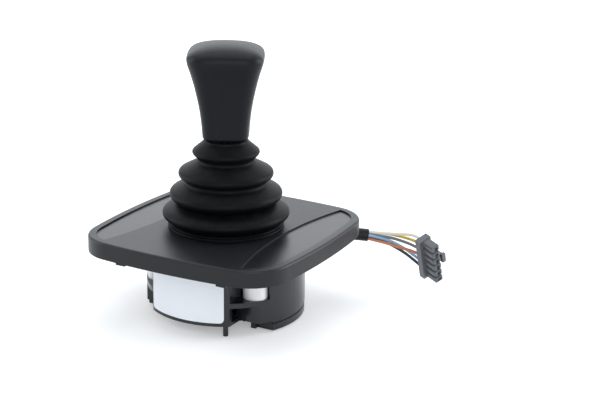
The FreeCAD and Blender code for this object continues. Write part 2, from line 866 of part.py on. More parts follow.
def make_frame_screws():
    """Screws from the gate through the plate into the frame."""
    made = []
    for x, y in FRAME_SCREW_PLACES:
        body = screw("frame_screw_radius", "frame_screw_head", "1.8",
                     "gate_top - frame_thread_end - 0.4", "0.9")
        made.append(place(body, x, y, "gate_top", Rotation(Vector(1, 0, 0), 180)))
    group("frame_screws", made)


def make_gate():
    """Nylon gate whose square opening stops the lever in both directions."""
    body = new_body("Gate")
    face = new_sketch(body, "XY_Plane", "plate_top")
    circle(face, "gate_radius")
    for x, y in FRAME_SCREW_PLACES:
        circle(face, "frame_screw_radius + running_gap", x, y)
    feature(body, "Pad", face, Length="gate_height")
    opening = new_sketch(body, "XY_Plane", "plate_top")
    flat = "(gate_half - gate_corner)"
    half = "gate_half"
    outline(opening, [
        ("-" + flat, "-" + half), (flat, "-" + half, "gate_corner"),
        (half, "-" + flat), (half, flat, "gate_corner"),
        (flat, half), ("-" + flat, half, "gate_corner"),
        ("-" + half, flat), ("-" + half, "-" + flat, "gate_corner")])
    pocket_up(body, opening, Length="gate_height")
    return keep(body, "tilt_gate")


def make_bushes():
    """Flanged bushes: two in the frame along X, two in the gimbal ring along Y."""
    bore = "pin_radius + running_gap"

    def bush(length, flange):
        return turned([
            (bore, "-(%s)" % flange), ("bush_radius + 1", "-(%s)" % flange), ("bush_radius + 1", "0"),
            ("bush_radius", "0"), ("bush_radius", length), (bore, length)], "Bush")

    outer = []
    for sign, turn in (("", Vector(1, 0, 0)), ("-", Vector(-1, 0, 0))):
        body = bush("frame_radius - frame_bore - 0.5", "frame_bore - ring_radius - 0.35")
        outer.append(place(body, sign + "frame_bore", "0", "pivot_height", Rotation(UP, turn)))
    group("outer_bushes", outer)
    inner = []
    for sign, turn in (("", Vector(0, 1, 0)), ("-", Vector(0, -1, 0))):
        body = bush("ring_radius - ring_bore - 0.6", "bush_flange")
        inner.append(place(body, "0", sign + "ring_bore", "pivot_height", Rotation(UP, turn)))
    group("inner_bushes", inner)


def make_gimbal_ring():
    """Ring between the two pivot axes, with a stiffening rib round it."""
    low = "pivot_height - ring_height / 2"
    high = "pivot_height + ring_height / 2"
    ring = turned([
        ("ring_bore", low), ("ring_radius - 1", low), ("ring_radius - 1", low + " + 1.5"),
        ("ring_radius", low + " + 2.5"), ("ring_radius", high + " - 2.5"),
        ("ring_radius - 1", high + " - 1.5"), ("ring_radius - 1", high), ("ring_bore", high)], "Ring")
    holes = [
        crossways("pin_radius + press_gap", "-ring_radius - 1", "ring_radius + 1", "X", "pivot_height"),
        crossways("bush_radius + press_gap", "-ring_radius - 1", "ring_radius + 1", "Y", "pivot_height"),
        crossways("bush_radius + 1.1", "-ring_bore", "ring_bore", "Y", "pivot_height")]
    return keep(cut(ring, holes), "gimbal_ring")


def make_pins():
    """Short pins from the ring into the frame, and one long pin through hub and shaft."""
    made = []
    for sign, turn in (("", Vector(1, 0, 0)), ("-", Vector(-1, 0, 0))):
        body = rod("pin_radius", "0", "frame_radius - ring_bore - 0.8", "Pin")
        made.append(place(body, sign + "(ring_bore + 0.3)", "0", "pivot_height", Rotation(UP, turn)))
    group("outer_pivot_pins", made)
    keep(crossways("pin_radius", "-ring_radius + 0.2", "ring_radius - 0.2", "Y", "pivot_height"),
         "inner_pivot_pin")


def make_hub():
    """Hub pinned on the lower end of the shaft."""
    body = turned([
        ("shaft_radius + press_gap", "hub_bottom"), ("hub_radius - 1", "hub_bottom"),
        ("hub_radius", "hub_bottom + 1"), ("hub_radius", "hub_bottom + hub_height - 1"),
        ("hub_radius - 1", "hub_bottom + hub_height"),
        ("shaft_radius + press_gap", "hub_bottom + hub_height")], "Hub")
    hole = crossways("pin_radius + press_gap", "-hub_radius - 1", "hub_radius + 1", "Y", "pivot_height")
    return keep(cut(body, [hole]), "lever_hub")


def make_shaft():
    """Steel lever shaft with a threaded top, a clip groove and a cross hole."""
    body = turned([
        ("0", "hub_bottom"), ("shaft_radius", "hub_bottom"),
        ("shaft_radius", "collar_top"), ("clip_groove", "collar_top"),
        ("clip_groove", "collar_top + clip_thickness"), ("shaft_radius", "collar_top + clip_thickness"),
        ("shaft_radius", "shaft_top - 1"), ("thread_radius", "shaft_top"),
        ("thread_radius", "thread_top - 1"), ("thread_radius - 1", "thread_top"), ("0", "thread_top"),
    ], "Shaft")
    hole = crossways("pin_radius + press_gap", "-shaft_radius - 1", "shaft_radius + 1", "Y", "pivot_height")
    return keep(cut(body, [hole]), "lever_shaft")


def make_spring():
    """Conical centring spring between the gate and the collar on the shaft."""
    wire = value("spring_wire") / 2
    turns = value("spring_turns")
    low = value("gate_top") + wire
    high = value("collar_bottom") - wire
    steps = int(turns * 15)
    rings = []
    for i in range(steps + 1):
        share = i / steps
        angle = 2 * math.pi * turns * share
        out = Vector(math.cos(angle), math.sin(angle), 0)
        radius = value("spring_foot") + (value("spring_head") - value("spring_foot")) * share
        middle = out * radius + UP * (low + (high - low) * share)
        corners = []
        for k in range(7):
            turn = math.radians(60 * k + 30)
            corners.append(middle + out * (wire * math.cos(turn)) + UP * (wire * math.sin(turn)))
        rings.append(Part.makePolygon(corners))
    made = doc.addObject("Part::Feature", "Spring")
    made.Shape = Part.makeLoft(rings, True, True)
    return keep(made, "centring_spring")


def make_collar():
    """Plastic collar on top of the spring, and the ring that holds it down."""
    keep(turned([
        ("shaft_radius + 0.05", "collar_bottom"), ("collar_radius", "collar_bottom"),
        ("collar_radius", "collar_bottom + 1.4"), ("shaft_radius + 2.2", "collar_top"),
        ("shaft_radius + 0.05", "collar_top")], "Collar"), "spring_collar")
    body = new_body("Clip")
    face = new_sketch(body, "XY_Plane", "collar_top")
    circle(face, "clip_radius")
    circle(face, "clip_groove + press_gap")
    feature(body, "Pad", face, Length="clip_thickness")
    slot = new_sketch(body, "XY_Plane", "collar_top")
    rectangle(slot, "clip_radius", "0", "2 * clip_radius", "2 * clip_groove - 1")
    pocket_up(body, slot, Length="clip_thickness")
    keep(body, "retaining_clip")


def make_magnet():
    """Holder under the hub with the magnet let into its lower face."""
    low = "hub_bottom - holder_length"
    keep(turned([
        ("0", low + " + magnet_length"), ("magnet_radius + press_gap", low + " + magnet_length"),
        ("magnet_radius + press_gap", low), ("holder_radius - 0.6", low), ("holder_radius", low + " + 0.6"),
        ("holder_radius", "hub_bottom"), ("0", "hub_bottom")], "Holder"), "magnet_holder")
    keep(rod("magnet_radius", low, low + " + magnet_length", "Magnet"), "magnet")


def make_board():
    """Sensor board on the frame's legs, with its sensors, header and screws."""
    body = new_body("Board")
    face = new_sketch(body, "XY_Plane", "board_bottom")
    circle(face, "board_radius")
    for x, y in LEG_PLACES:
        circle(face, "board_screw_radius + running_gap", x, y)
    feature(body, "Pad", face, Length="board_thickness")
    keep(body, "sensor_board")
    chips = []
    for a in ("", "-"):
        for b in ("", "-"):
            chips.append(box(a + "chip_pitch / 2 - chip_size / 2", b + "chip_pitch / 2 - chip_size / 2",
                             "board_top", "chip_size", "chip_size", "chip_height"))
    group("hall_sensors", chips)
    x, y = polar("header_circle", "lead_exit_angle")
    header = new_body("Header")
    face = new_sketch(header, "XY_Plane")
    rectangle(face, "0", "0", "header_width", "header_length")
    feature(header, "Pad", face, Length="header_height")
    keep(place(header, x, y, "board_top", Rotation(UP, value("lead_exit_angle"))), "wire_header")
    screws = []
    for x, y in LEG_PLACES:
        made = screw("board_screw_radius", "board_screw_head", "1.4", "board_thickness + 5", "0.7")
        screws.append(place(made, x, y, "board_bottom"))
    group("board_screws", screws)


# Gaiter and knob


def make_gaiter():
    """Rubber gaiter with four folds, a neck that grips the shaft and a grooved foot in the bezel."""
    wall = "gaiter_wall"
    outer = [("shaft_radius", "gaiter_neck_top"), ("gaiter_neck_radius", "gaiter_neck_top")]
    inner = [("shaft_radius", "gaiter_neck_top - 1.5"),
             ("gaiter_neck_radius - " + wall, "gaiter_neck_top - 1.5")]
    for i in (1, 2, 3, 4):
        outer.append(("fold%d_radius" % i, "fold%d_height" % i))
        inner.append(("fold%d_radius - %s" % (i, wall), "fold%d_height" % i))
        if i < 4:
            height = "0.36 * fold%d_height + 0.64 * fold%d_height" % (i, i + 1)
            outer.append(("valley%d_radius" % i, height))
            inner.append(("valley%d_radius - %s" % (i, wall), height))
    lip_top = "bezel_height + gaiter_lip"
    outer += [
        ("gaiter_foot_radius", lip_top + " + 1"),
        ("gaiter_foot_radius", lip_top),
        ("gaiter_lip_radius", lip_top),
        ("gaiter_lip_radius", "bezel_height"),
        ("bezel_hole - 0.3", "bezel_height"),
        ("bezel_hole - 0.3", "bezel_under"),
        ("gaiter_flange", "bezel_under"),
        ("gaiter_flange", "gaiter_foot"),
    ]
    inner += [
        ("gaiter_foot_radius - " + wall, lip_top + " + 1"),
        ("clamp_inner", "bezel_height"),
        ("clamp_inner", "gaiter_foot"),
    ]
    body = turned(list(reversed(outer)) + inner, "Gaiter")
    crests = [value("fold%d_radius" % (i + 1)) for i in range(4)]

    def on_crest(edge):
        box_of = edge.BoundBox
        level = box_of.ZMax - box_of.ZMin < 1e-4
        return level and any(abs(box_of.XMax - crest) < 1e-3 for crest in crests)

    rounded(body, body.Tip, "crest_round", on_crest)
    return keep(body, "gaiter")


def make_clamp_ring():
    """Ring that presses the gaiter's foot up against the bezel."""
    keep(tube("clamp_inner", "clamp_outer", "plate_top", "gaiter_foot", "Clamp"), "gaiter_clamp_ring")


# Half widths of the knob, as shares of the widest, at shares of its height

KNOB_SECTIONS = (
    (0, 0.589), (0.02, 0.606), (0.064, 0.611), (0.17, 0.636), (0.276, 0.665), (0.382, 0.714),
    (0.486, 0.767), (0.592, 0.825), (0.673, 0.883), (0.737, 0.928), (0.799, 0.983), (0.841, 1),
    (0.87, 0.988), (0.895, 0.955), (0.92, 0.9), (0.945, 0.8), (0.965, 0.68), (0.982, 0.52),
    (0.994, 0.32), (1, 0.1),
)


def make_knob():
    """Knob lofted through rounded squares that widen upwards and close in a dome."""
    body = new_body("Knob")
    sections = []
    for share, half in KNOB_SECTIONS:
        sketch = new_sketch(body, "XY_Plane", "knob_bottom + %g * knob_height" % share)
        width = "(%g * knob_half)" % half
        x = "%s * knob_side * knob_centre / knob_reach" % width
        y = "%s * (knob_lift - knob_side * (knob_centre + knob_lift) / knob_reach)" % width
        outline(sketch, rounded_square(x, y, "(%s * knob_side)" % width, "(%s * knob_corner)" % width))
        sections.append(sketch)
    loft = body.newObject("PartDesign::AdditiveLoft", "Loft")
    loft.Profile = sections[0]
    loft.Sections = sections[1:]
    loft.Ruled = True
    recess = new_sketch(body, "XY_Plane", "knob_bottom")
    circle(recess, "nut_recess_radius")
    pocket_up(body, recess, Length="nut_recess_depth")
    seat = new_sketch(body, "XY_Plane", "insert_bottom")
    circle(seat, "knob_insert_radius")
    pocket_up(body, seat, Length="knob_insert_length")
    body.Placement = FreeCAD.Placement(Vector(), Rotation(UP, value("knob_turn")))
    return keep(body, "knob")


def make_knob_fittings():
    """Brass insert in the knob, and the nut that locks the knob on the thread."""
    keep(tube("thread_radius + 0.05", "knob_insert_radius", "insert_bottom",
              "insert_bottom + knob_insert_length", "Insert"), "knob_insert")
    body = new_body("Nut")
    face = new_sketch(body, "XY_Plane", "insert_bottom - nut_height")
    outline(face, ring_of("nut_flats / sqrt(3)", 0, 6))
    feature(body, "Pad", face, Length="nut_height")
    hole = new_sketch(body, "XY_Plane", "insert_bottom - nut_height")
    circle(hole, "thread_radius + 0.05")
    pocket_up(body, hole, Length="nut_height")
    keep(body, "lock_nut")


# Harness, in a frame that is turned to the side where the lead leaves the base

LEAD = Rotation(UP, value("lead_turn"))


def harness_point(along, across, height):
    """A place from its distance along the lead, across it and above the panel face."""
    return LEAD.multVec(Vector(along, across, height))


def radial_point(radius, height):
    """A place over the line on which the lead leaves the base."""
    angle = math.radians(value("lead_exit_angle"))
    return Vector(radius * math.cos(angle), radius * math.sin(angle), height)


def cord(points, radius):
    """A tube along straight runs with a tangent arc at each inner point, as large as its runs allow."""
    edges = []
    tightest = 1e9
    start = points[0]
    for before, here, after in zip(points, points[1:], points[2:]):
        one = here - before
        two = after - here
        reach = 0.45 * min(one.Length, two.Length)
        turn = one.getAngle(two)
        bend = reach / math.tan(turn / 2)
        tightest = min(tightest, bend)
        one.normalize()
        two.normalize()
        first = here - one * reach
        second = here + two * reach
        middle = here + (two - one).normalize() * (bend / math.cos(turn / 2) - bend)
        edges.append(Part.LineSegment(start, first).toShape())
        edges.append(Part.Arc(first, middle, second).toShape())
        start = second
    edges.append(Part.LineSegment(start, points[-1]).toShape())
    path = Part.Wire(edges)
    direction = points[1] - points[0]
    section = Part.Wire([Part.Circle(points[0], direction, radius).toShape()])
    solid = path.makePipeShell([section], True, False)
    share = solid.Volume / (math.pi * radius * radius * path.Length)
    print("cord: tightest bend %.2f, length %.1f, volume share %.3f" % (tightest, path.Length, share))
    return solid


def cord_feature(points, radius, name="Cord"):
    made = doc.addObject("Part::Feature", name)
    made.Shape = cord(points, value(radius))
    return made


# Places along the jacket and the wires: along the lead, across it, above the panel face

JACKET_ROUTE = ((40.93, 19.08, -5.5), (52, 23.6, -4.6), (61, 26.6, -4.7), (69, 27, -5.8))

WIRE_ROUTES = {
    "wire_cream": (
        (69, 27, -5.8), (72.96, 27.2, -6.34), (78.53, 25.09, -6.13), (83.55, 21.58, -4.21),
        (88, 17.83, -2.22), (92.05, 13.92, -1.45), (94.82, 10.5, -2.38)),
    "wire_yellow": (
        (68.99, 28.67, -5.26), (72.95, 28.86, -5.81), (79.84, 27.87, -5.34), (84.45, 25.46, -4.8),
        (88.65, 21.13, -4.55), (92.69, 15.42, -5.06), (95.46, 12, -5.99)),
    "wire_grey": (
        (69.24, 27.01, -4.07), (73.2, 27.21, -4.61), (78.74, 26.4, -4.79), (84.12, 23.95, -5.83),
        (88.76, 20.95, -7.14), (93.33, 16.91, -8.67), (96.1, 13.49, -9.6)),
    "wire_orange": (
        (68.86, 25.96, -7.2), (72.82, 26.16, -7.75), (78.68, 24.93, -8.45), (83.86, 23.21, -9.36),
        (88.93, 21.24, -10.68), (93.96, 18.41, -12.28), (96.73, 14.99, -13.21)),
    "wire_blue": (
        (69.16, 25.34, -5.26), (73.11, 25.54, -5.81), (77.02, 23.35, -8.01), (83.15, 22.77, -11.79),
        (88.91, 22.21, -14.25), (94.6, 19.91, -15.89), (97.37, 16.48, -16.82)),
    "wire_black": (
        (68.76, 28.02, -7.2), (72.71, 28.22, -7.75), (80.64, 26.12, -9.62), (86.48, 24.43, -12.2),
        (91.82, 23.06, -16.25), (95.24, 21.4, -19.5), (98.01, 17.98, -20.43)),
}

PLUG_BACK = (95.8, 15, -11.2)
PLUG_MATING = (0.615, -0.759, -0.206)
PLUG_ROW = (0.162, 0.377, -0.913)


def make_grommet():
    """Grommet in the cable slot, cut flat under the plate."""
    half = "base_wall / 2"
    back = "-(%s) - grommet_relief" % half
    body = turned([
        ("jacket_radius + press_gap", back + " - 1"), ("grommet_flange", back + " - 1"),
        ("grommet_flange", back), ("grommet_radius", back),
        ("grommet_radius", half), ("grommet_flange", half),
        ("grommet_flange", half + " + 1"), ("jacket_radius + press_gap", half + " + 1")], "Grommet")
    trim = box("-10", "-10", "-10", "20", "20", "plate_under - lead_height + 10")
    turn = Rotation(UP, value("lead_exit_angle"))
    x, y = polar("(base_radius - base_wall / 2)", "lead_exit_angle")
    place(body, 0, 0, 0, Rotation(UP, Vector(1, 0, 0)))
    return keep(place(common(body, trim), x, y, "lead_height", turn), "cable_grommet")


def make_harness():
    """Jacketed lead, its bundle inside the base, and six wires to the plug."""
    height = value("lead_height")
    inside = radial_point(value("lead_start"), height)
    jacket = [inside] + [harness_point(*p) for p in JACKET_ROUTE]
    keep(cord_feature(jacket, "jacket_radius", "Jacket"), "cable_jacket")
    header = value("header_circle")
    inner = [
        inside,
        radial_point(value("base_radius - bundle_drop"), height),
        radial_point(value("base_radius - bundle_low"), value("frame_bottom - 1")),
        radial_point(header, value("frame_bottom - 4")),
        radial_point(header, value("board_top + header_height"))]
    keep(cord_feature(inner, "inner_lead_radius", "Leads"), "inner_leads")
    for label, route in WIRE_ROUTES.items():
        points = [harness_point(*p) for p in route]
        keep(cord_feature(points, "wire_radius", "Wire"), label)


def plug_placement():
    """Origin in the middle of the plug's back, X along its row from top to bottom, Z out of its front."""
    z = LEAD.multVec(Vector(*PLUG_MATING)).normalize()
    row = LEAD.multVec(Vector(*PLUG_ROW))
    x = (row - z * row.dot(z)).normalize()
    return FreeCAD.Placement(harness_point(*PLUG_BACK), Rotation(x, z.cross(x), z, "ZXY"))


def make_plug():
    """Six-way plug housing with rounded noses, open cavities and a latch arm, and its six terminals."""
    body = new_body("Plug")
    base = new_sketch(body, "XY_Plane")
    outline(base, [
        ("-plug_length / 2", "-plug_low"), ("plug_length / 2", "-plug_low"),
        ("plug_length / 2", "plug_thickness - plug_low"), ("-plug_length / 2", "plug_thickness - plug_low")])
    feature(body, "Pad", base, Length="plug_flange")
    arm = new_sketch(body, "XY_Plane")
    rectangle(arm, "0", "plug_thickness - plug_low + (latch_gap + latch_wall) / 2", "latch_width",
              "(latch_gap + latch_wall)")
    feature(body, "Pad", arm, Length="plug_flange")
    reach = new_sketch(body, "XY_Plane")
    rectangle(reach, "0", "plug_thickness - plug_low + latch_gap + latch_wall / 2", "latch_width",
              "latch_wall")
    feature(body, "Pad", reach, Length="latch_length")
    hook = new_sketch(body, "XY_Plane", "latch_length - 1.4")
    rectangle(hook, "0", "plug_thickness - plug_low + latch_gap + latch_wall + 0.4", "latch_width", "0.8")
    feature(body, "Pad", hook, Length="1.4")
    noses = new_sketch(body, "XY_Plane", "plug_flange")
    for i in range(6):
        rectangle(noses, "%g * way_pitch" % (i - 2.5), "0", "snout_width", "snout_thickness")
    nose = feature(body, "Pad", noses, Length="snout_length")

    def on_nose(edge):
        box_of = edge.BoundBox
        top = value("plug_flange + snout_length")
        along = box_of.ZMax - box_of.ZMin
        return abs(box_of.ZMax - top) < 1e-4 and (along < 1e-4 or abs(along - value("snout_length")) < 1e-3)

    rounded(body, nose, "nose_round", on_nose)
    cavities = new_sketch(body, "XY_Plane")
    for i in range(6):
        circle(cavities, "cavity_radius", "%g * way_pitch" % (i - 2.5), "0")
    pocket_up(body, cavities, Length="plug_flange + snout_length")
    body.Placement = plug_placement()
    keep(body, "connector_housing")
    terminals = []
    for i in range(6):
        pin = tube("terminal_bore", "cavity_radius", "wire_depth", "plug_flange + snout_length - 1.2", "Pin")
        place(pin, "%g * way_pitch" % (i - 2.5), "0", "0")
        terminals.append(pin)
    bundle = group("connector_terminals", terminals)
    bundle.Placement = plug_placement()


make_bezel()
make_inserts()
make_plate()
make_spacers()
make_base_screws()
make_housing()
make_lower_cover()
make_cover_screws()
make_label()
make_frame()
make_frame_screws()
make_gate()
make_bushes()
make_gimbal_ring()
make_pins()
make_hub()
make_shaft()
make_spring()
make_collar()
make_magnet()
make_board()
make_gaiter()
make_clamp_ring()
make_knob()
make_knob_fittings()
make_grommet()
make_harness()
make_plug()

doc.recompute()

# Checks, then one file for each sub-part

for thing in doc.Objects:
    if "Invalid" in thing.State or "Error" in thing.State:
        raise RuntimeError("%s (%s) is %s" % (thing.Name, thing.Label, thing.State))

os.makedirs("parts", exist_ok=True)
for thing in PARTS:
    shape = thing.Shape
    if shape.isNull() or not shape.isValid() or shape.Volume <= 0:
        raise RuntimeError("%s has no valid shape" % thing.Label)
    extent = shape.BoundBox
    print("%-20s solids %2d  volume %9.1f  x %.1f %.1f  y %.1f %.1f  z %.1f %.1f" % (
        thing.Label, len(shape.Solids), shape.Volume, extent.XMin, extent.XMax,
        extent.YMin, extent.YMax, extent.ZMin, extent.ZMax))
    shape.exportStep("parts/%s.step" % thing.Label)
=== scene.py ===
# %% [markdown]
# # A panel joystick with a gaiter
#
# The object is a two-axis joystick for a control panel. A tall knob stands on a folded rubber
# gaiter, which comes out of a square bezel. A round base hangs under the bezel, and a short harness
# leaves it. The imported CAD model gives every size. This script gives it its looks: the finishes,
# the soft gaiter, the finely rounded knob, the label and the wires.

import json
import math

import bmesh
import bpy
import numpy as np
from mathutils import Matrix, Vector


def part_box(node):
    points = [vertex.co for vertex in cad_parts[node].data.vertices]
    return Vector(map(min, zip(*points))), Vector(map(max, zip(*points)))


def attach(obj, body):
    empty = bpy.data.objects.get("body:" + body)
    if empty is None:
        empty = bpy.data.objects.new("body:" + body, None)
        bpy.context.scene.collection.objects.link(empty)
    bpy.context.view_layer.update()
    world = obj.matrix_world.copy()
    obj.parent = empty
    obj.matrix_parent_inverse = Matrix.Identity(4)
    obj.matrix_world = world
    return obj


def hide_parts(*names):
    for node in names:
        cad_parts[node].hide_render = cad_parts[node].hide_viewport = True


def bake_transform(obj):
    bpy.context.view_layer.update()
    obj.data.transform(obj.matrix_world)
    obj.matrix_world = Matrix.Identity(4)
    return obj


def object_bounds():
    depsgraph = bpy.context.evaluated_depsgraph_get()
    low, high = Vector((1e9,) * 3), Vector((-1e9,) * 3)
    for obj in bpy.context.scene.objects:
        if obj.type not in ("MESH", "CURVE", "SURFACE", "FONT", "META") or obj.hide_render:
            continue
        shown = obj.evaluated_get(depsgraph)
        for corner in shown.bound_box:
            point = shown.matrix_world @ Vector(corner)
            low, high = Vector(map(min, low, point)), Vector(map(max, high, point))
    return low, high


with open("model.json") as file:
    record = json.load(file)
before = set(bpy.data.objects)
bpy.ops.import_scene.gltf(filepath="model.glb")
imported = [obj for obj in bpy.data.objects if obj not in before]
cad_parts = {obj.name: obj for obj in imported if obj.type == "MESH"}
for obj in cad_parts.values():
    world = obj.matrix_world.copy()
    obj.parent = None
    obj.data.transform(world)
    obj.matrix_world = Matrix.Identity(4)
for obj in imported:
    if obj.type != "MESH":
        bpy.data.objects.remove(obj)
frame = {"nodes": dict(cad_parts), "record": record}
cad_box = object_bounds()
nodes = frame["nodes"]
scene = bpy.context.scene
scene.view_settings.view_transform = "Standard"
MM = 0.001
print("CAD nodes:", len(nodes))

# %% [markdown]
# ## Camera
#
# The photograph was taken from beyond the bezel's front right corner, a little above it, with a
# long lens. A camera could be dragged into place by eye. Here it has three angles, a distance and
# two small shifts instead, because each of those can be fitted to the outlines in the photograph.
# The distance is the one at which the bezel's near and far edges get the lengths they have there.

# %% Camera
CAMERA_AZIMUTH = math.radians(28.51)
CAMERA_ELEVATION = math.radians(17.73)
CAMERA_ROLL = math.radians(0.77)
CAMERA_DISTANCE = 714.78 * MM
CAMERA_ASIDE = 33.96 * MM
CAMERA_RAISED = 11.58 * MM
CAMERA_LENS = 90.8
CAMERA_FILM = 36
BEZEL_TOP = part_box("bezel")[1].z

turn = Matrix.Rotation(CAMERA_AZIMUTH, 3, "Z")
turn = turn @ Matrix.Rotation(math.pi / 2 - CAMERA_ELEVATION, 3, "X")
turn = turn @ Matrix.Rotation(CAMERA_ROLL, 3, "Z")
seat = Vector((0, 0, BEZEL_TOP)) + turn @ Vector((CAMERA_ASIDE, CAMERA_RAISED, CAMERA_DISTANCE))
camera_data = bpy.data.cameras.new("camera")
camera_data.lens = CAMERA_LENS
camera_data.sensor_width = CAMERA_FILM
camera = bpy.data.objects.new("camera", camera_data)
camera.matrix_world = Matrix.Translation(seat) @ turn.to_4x4()
scene.collection.objects.link(camera)
scene.camera = camera
print("camera at", [round(x, 3) for x in seat])

# %% [markdown]
# ## Helpers for node trees
#
# Every surface in Blender is a tree of nodes. They could be wired by hand in the editor. A few
# helpers do it here, so that the steps below only say what is special about each finish.

# %% Helpers for node trees


def new_material(name):
    """A material with only a Principled shader, and its tree."""
    material = bpy.data.materials.new(name)
    material.use_nodes = True
    tree = material.node_tree
    tree.nodes.clear()
    shader = tree.nodes.new("ShaderNodeBsdfPrincipled")
    output = tree.nodes.new("ShaderNodeOutputMaterial")
    tree.links.new(shader.outputs["BSDF"], output.inputs["Surface"])
    return material, tree, shader


def new_group(name, inputs, outputs):
    """A shader node group with number inputs and outputs, and its two ends."""
    group = bpy.data.node_groups.new(name, "ShaderNodeTree")
    for label, default in inputs:
        socket = group.interface.new_socket(
            name=label, in_out="INPUT", socket_type="NodeSocketFloat")
        socket.default_value = default
    for label in outputs:
        group.interface.new_socket(name=label, in_out="OUTPUT", socket_type="NodeSocketFloat")
    start = group.nodes.new("NodeGroupInput")
    end = group.nodes.new("NodeGroupOutput")
    return group, start, end


def add(tree, kind, **settings):
    """A node of a kind, with its properties set."""
    node = tree.nodes.new("ShaderNode" + kind)
    for name, value in settings.items():
        setattr(node, name, value)
    return node


def calculate(tree, operation, one, two):
    """The result of a sum on two values, each an output of a node or a plain number."""
    node = add(tree, "Math", operation=operation)
    for socket, value in zip(node.inputs, (one, two)):
        if isinstance(value, (int, float)):
            socket.default_value = value
        else:
            tree.links.new(value, socket)
    return node.outputs[0]


def map_range(tree, value, span, result=(0.0, 1.0)):
    """A value whose span is stretched to another one."""
    node = add(tree, "MapRange")
    node.inputs["From Min"].default_value, node.inputs["From Max"].default_value = span
    node.inputs["To Min"].default_value, node.inputs["To Max"].default_value = result
    tree.links.new(value, node.inputs["Value"])
    return node.outputs["Result"]


def mix_colours(tree, mask, dark, light):
    """A colour that goes from one to another with a mask."""
    mix = add(tree, "Mix", data_type="RGBA")
    mix.inputs[6].default_value = (*dark, 1)
    mix.inputs[7].default_value = (*light, 1)
    tree.links.new(mask, mix.inputs[0])
    return mix.outputs[2]


print("scene uses", scene.view_settings.view_transform)

# %% [markdown]
# ## Studio: the world
#
# A product picture has a white sweep and large soft lamps. A very bright world would make the
# background white, but it would also wash out the blacks. So the world is only white for the rays
# that look at it: those of the camera, of gloss and of glass. All other rays find a weak daylight.

# %% World
WORLD_LIGHT = 0.5
DAYLIGHT = (0.93, 0.965, 1.0)
WHITE = (1, 1, 1)


def studio_rays(tree):
    """1 for the rays that should find a white studio: of the camera, of gloss and of glass."""
    rays = add(tree, "LightPath")
    found = rays.outputs["Is Camera Ray"]
    for kind in ("Is Glossy Ray", "Is Transmission Ray"):
        found = calculate(tree, "MAXIMUM", found, rays.outputs[kind])
    return found


world = bpy.data.worlds.new("studio")
scene.world = world
world.use_nodes = True
tree = world.node_tree
tree.nodes.clear()
camera_rays = add(tree, "LightPath").outputs["Is Camera Ray"]
background = add(tree, "Background")
tint = mix_colours(tree, camera_rays, DAYLIGHT, WHITE)
strength = map_range(tree, studio_rays(tree), (0, 1), (WORLD_LIGHT, 1))
tree.links.new(tint, background.inputs["Color"])
tree.links.new(strength, background.inputs["Strength"])
output = add(tree, "OutputWorld")
tree.links.new(background.outputs[0], output.inputs["Surface"])
print("world light:", WORLD_LIGHT)

# %% [markdown]
# ## Studio: the floor
#
# The joystick stands on white paper, which keeps its soft shadow. A shadow catcher would lose the
# light that the paper throws back up, so the paper is a real sheet here. It glows a little for the
# same rays as the world, and more with distance, so that it fades into the white behind it.

# %% Floor
FLOOR_SIZE = 6
FLOOR_GAP = 0.2 * MM
FLOOR_WHITE = 0.9
FLOOR_ROUGHNESS = 0.9
FLOOR_GLOW = 0.3
FLOOR_NEAR, FLOOR_FAR = 0.3, 1.2

floor_mesh = bpy.data.meshes.new("floor")
shape = bmesh.new()
bmesh.ops.create_grid(shape, x_segments=1, y_segments=1, size=FLOOR_SIZE)
shape.to_mesh(floor_mesh)
shape.free()
floor = bpy.data.objects.new("floor", floor_mesh)
floor.location.z = cad_box[0][2] - FLOOR_GAP
scene.collection.objects.link(floor)

paper, tree, shader = new_material("paper_sweep")
shader.inputs["Base Color"].default_value = (FLOOR_WHITE, FLOOR_WHITE, FLOOR_WHITE, 1)
shader.inputs["Roughness"].default_value = FLOOR_ROUGHNESS
shader.inputs["Emission Color"].default_value = (*WHITE, 1)
away = add(tree, "VectorMath", operation="LENGTH")
tree.links.new(add(tree, "TexCoord").outputs["Object"], away.inputs[0])
glow = map_range(tree, away.outputs["Value"], (FLOOR_NEAR, FLOOR_FAR), (FLOOR_GLOW, 1))
seen_glow = calculate(tree, "MULTIPLY", studio_rays(tree), glow)
tree.links.new(seen_glow, shader.inputs["Emission Strength"])
floor.data.materials.append(paper)
print("floor at", round(floor.location.z / MM, 2), "mm")

# %% [markdown]
# ## Studio: the lamps
#
# Black plastic shows its form by what it reflects. Small lamps would leave hard spots, so five
# large soft ones stand round it, as in a photographer's tent. The strong ones light the right wall
# and the front. Their sizes are in metres and their powers in watts.

# %% Lamps
AIM = (0, 0, 0.03)
# Place, width and height, power
LAMPS = {
    "top": ((-0.15, 0.25, 1.45), (1.4, 1.2), 6.5),
    "behind": ((-0.57, 1.05, 0.55), (1.7, 0.8), 5),
    "left": ((-1.0, -0.35, 0.4), (0.5, 1.0), 5),
    "right": ((0.85, 0.75, 0.35), (0.5, 1.0), 9),
    "front": ((0.75, -1.1, 0.6), (1.2, 1.2), 8),
}

for name, (spot, size, power) in LAMPS.items():
    data = bpy.data.lights.new(name, "AREA")
    data.shape = "RECTANGLE"
    data.size, data.size_y = size
    data.energy = power
    data.color = DAYLIGHT
    lamp = bpy.data.objects.new(name, data)
    lamp.location = spot
    lamp.rotation_euler = (Vector(AIM) - Vector(spot)).to_track_quat("-Z", "Y").to_euler()
    scene.collection.objects.link(lamp)
print("lamps:", len(bpy.data.lights))

# %% [markdown]
# ## Mould grain
#
# Nearly every surface here is black moulded plastic or rubber, so the finishes differ mostly in
# gloss and grain. The grain is the print of the mould's spark-eroded steel. An image could give it,
# but noise has no seams and no edges, so a noise in the piece's own space is used. It serves two
# ends: its height feeds the bump, and its mask breaks up the gloss.

# %% Mould grain


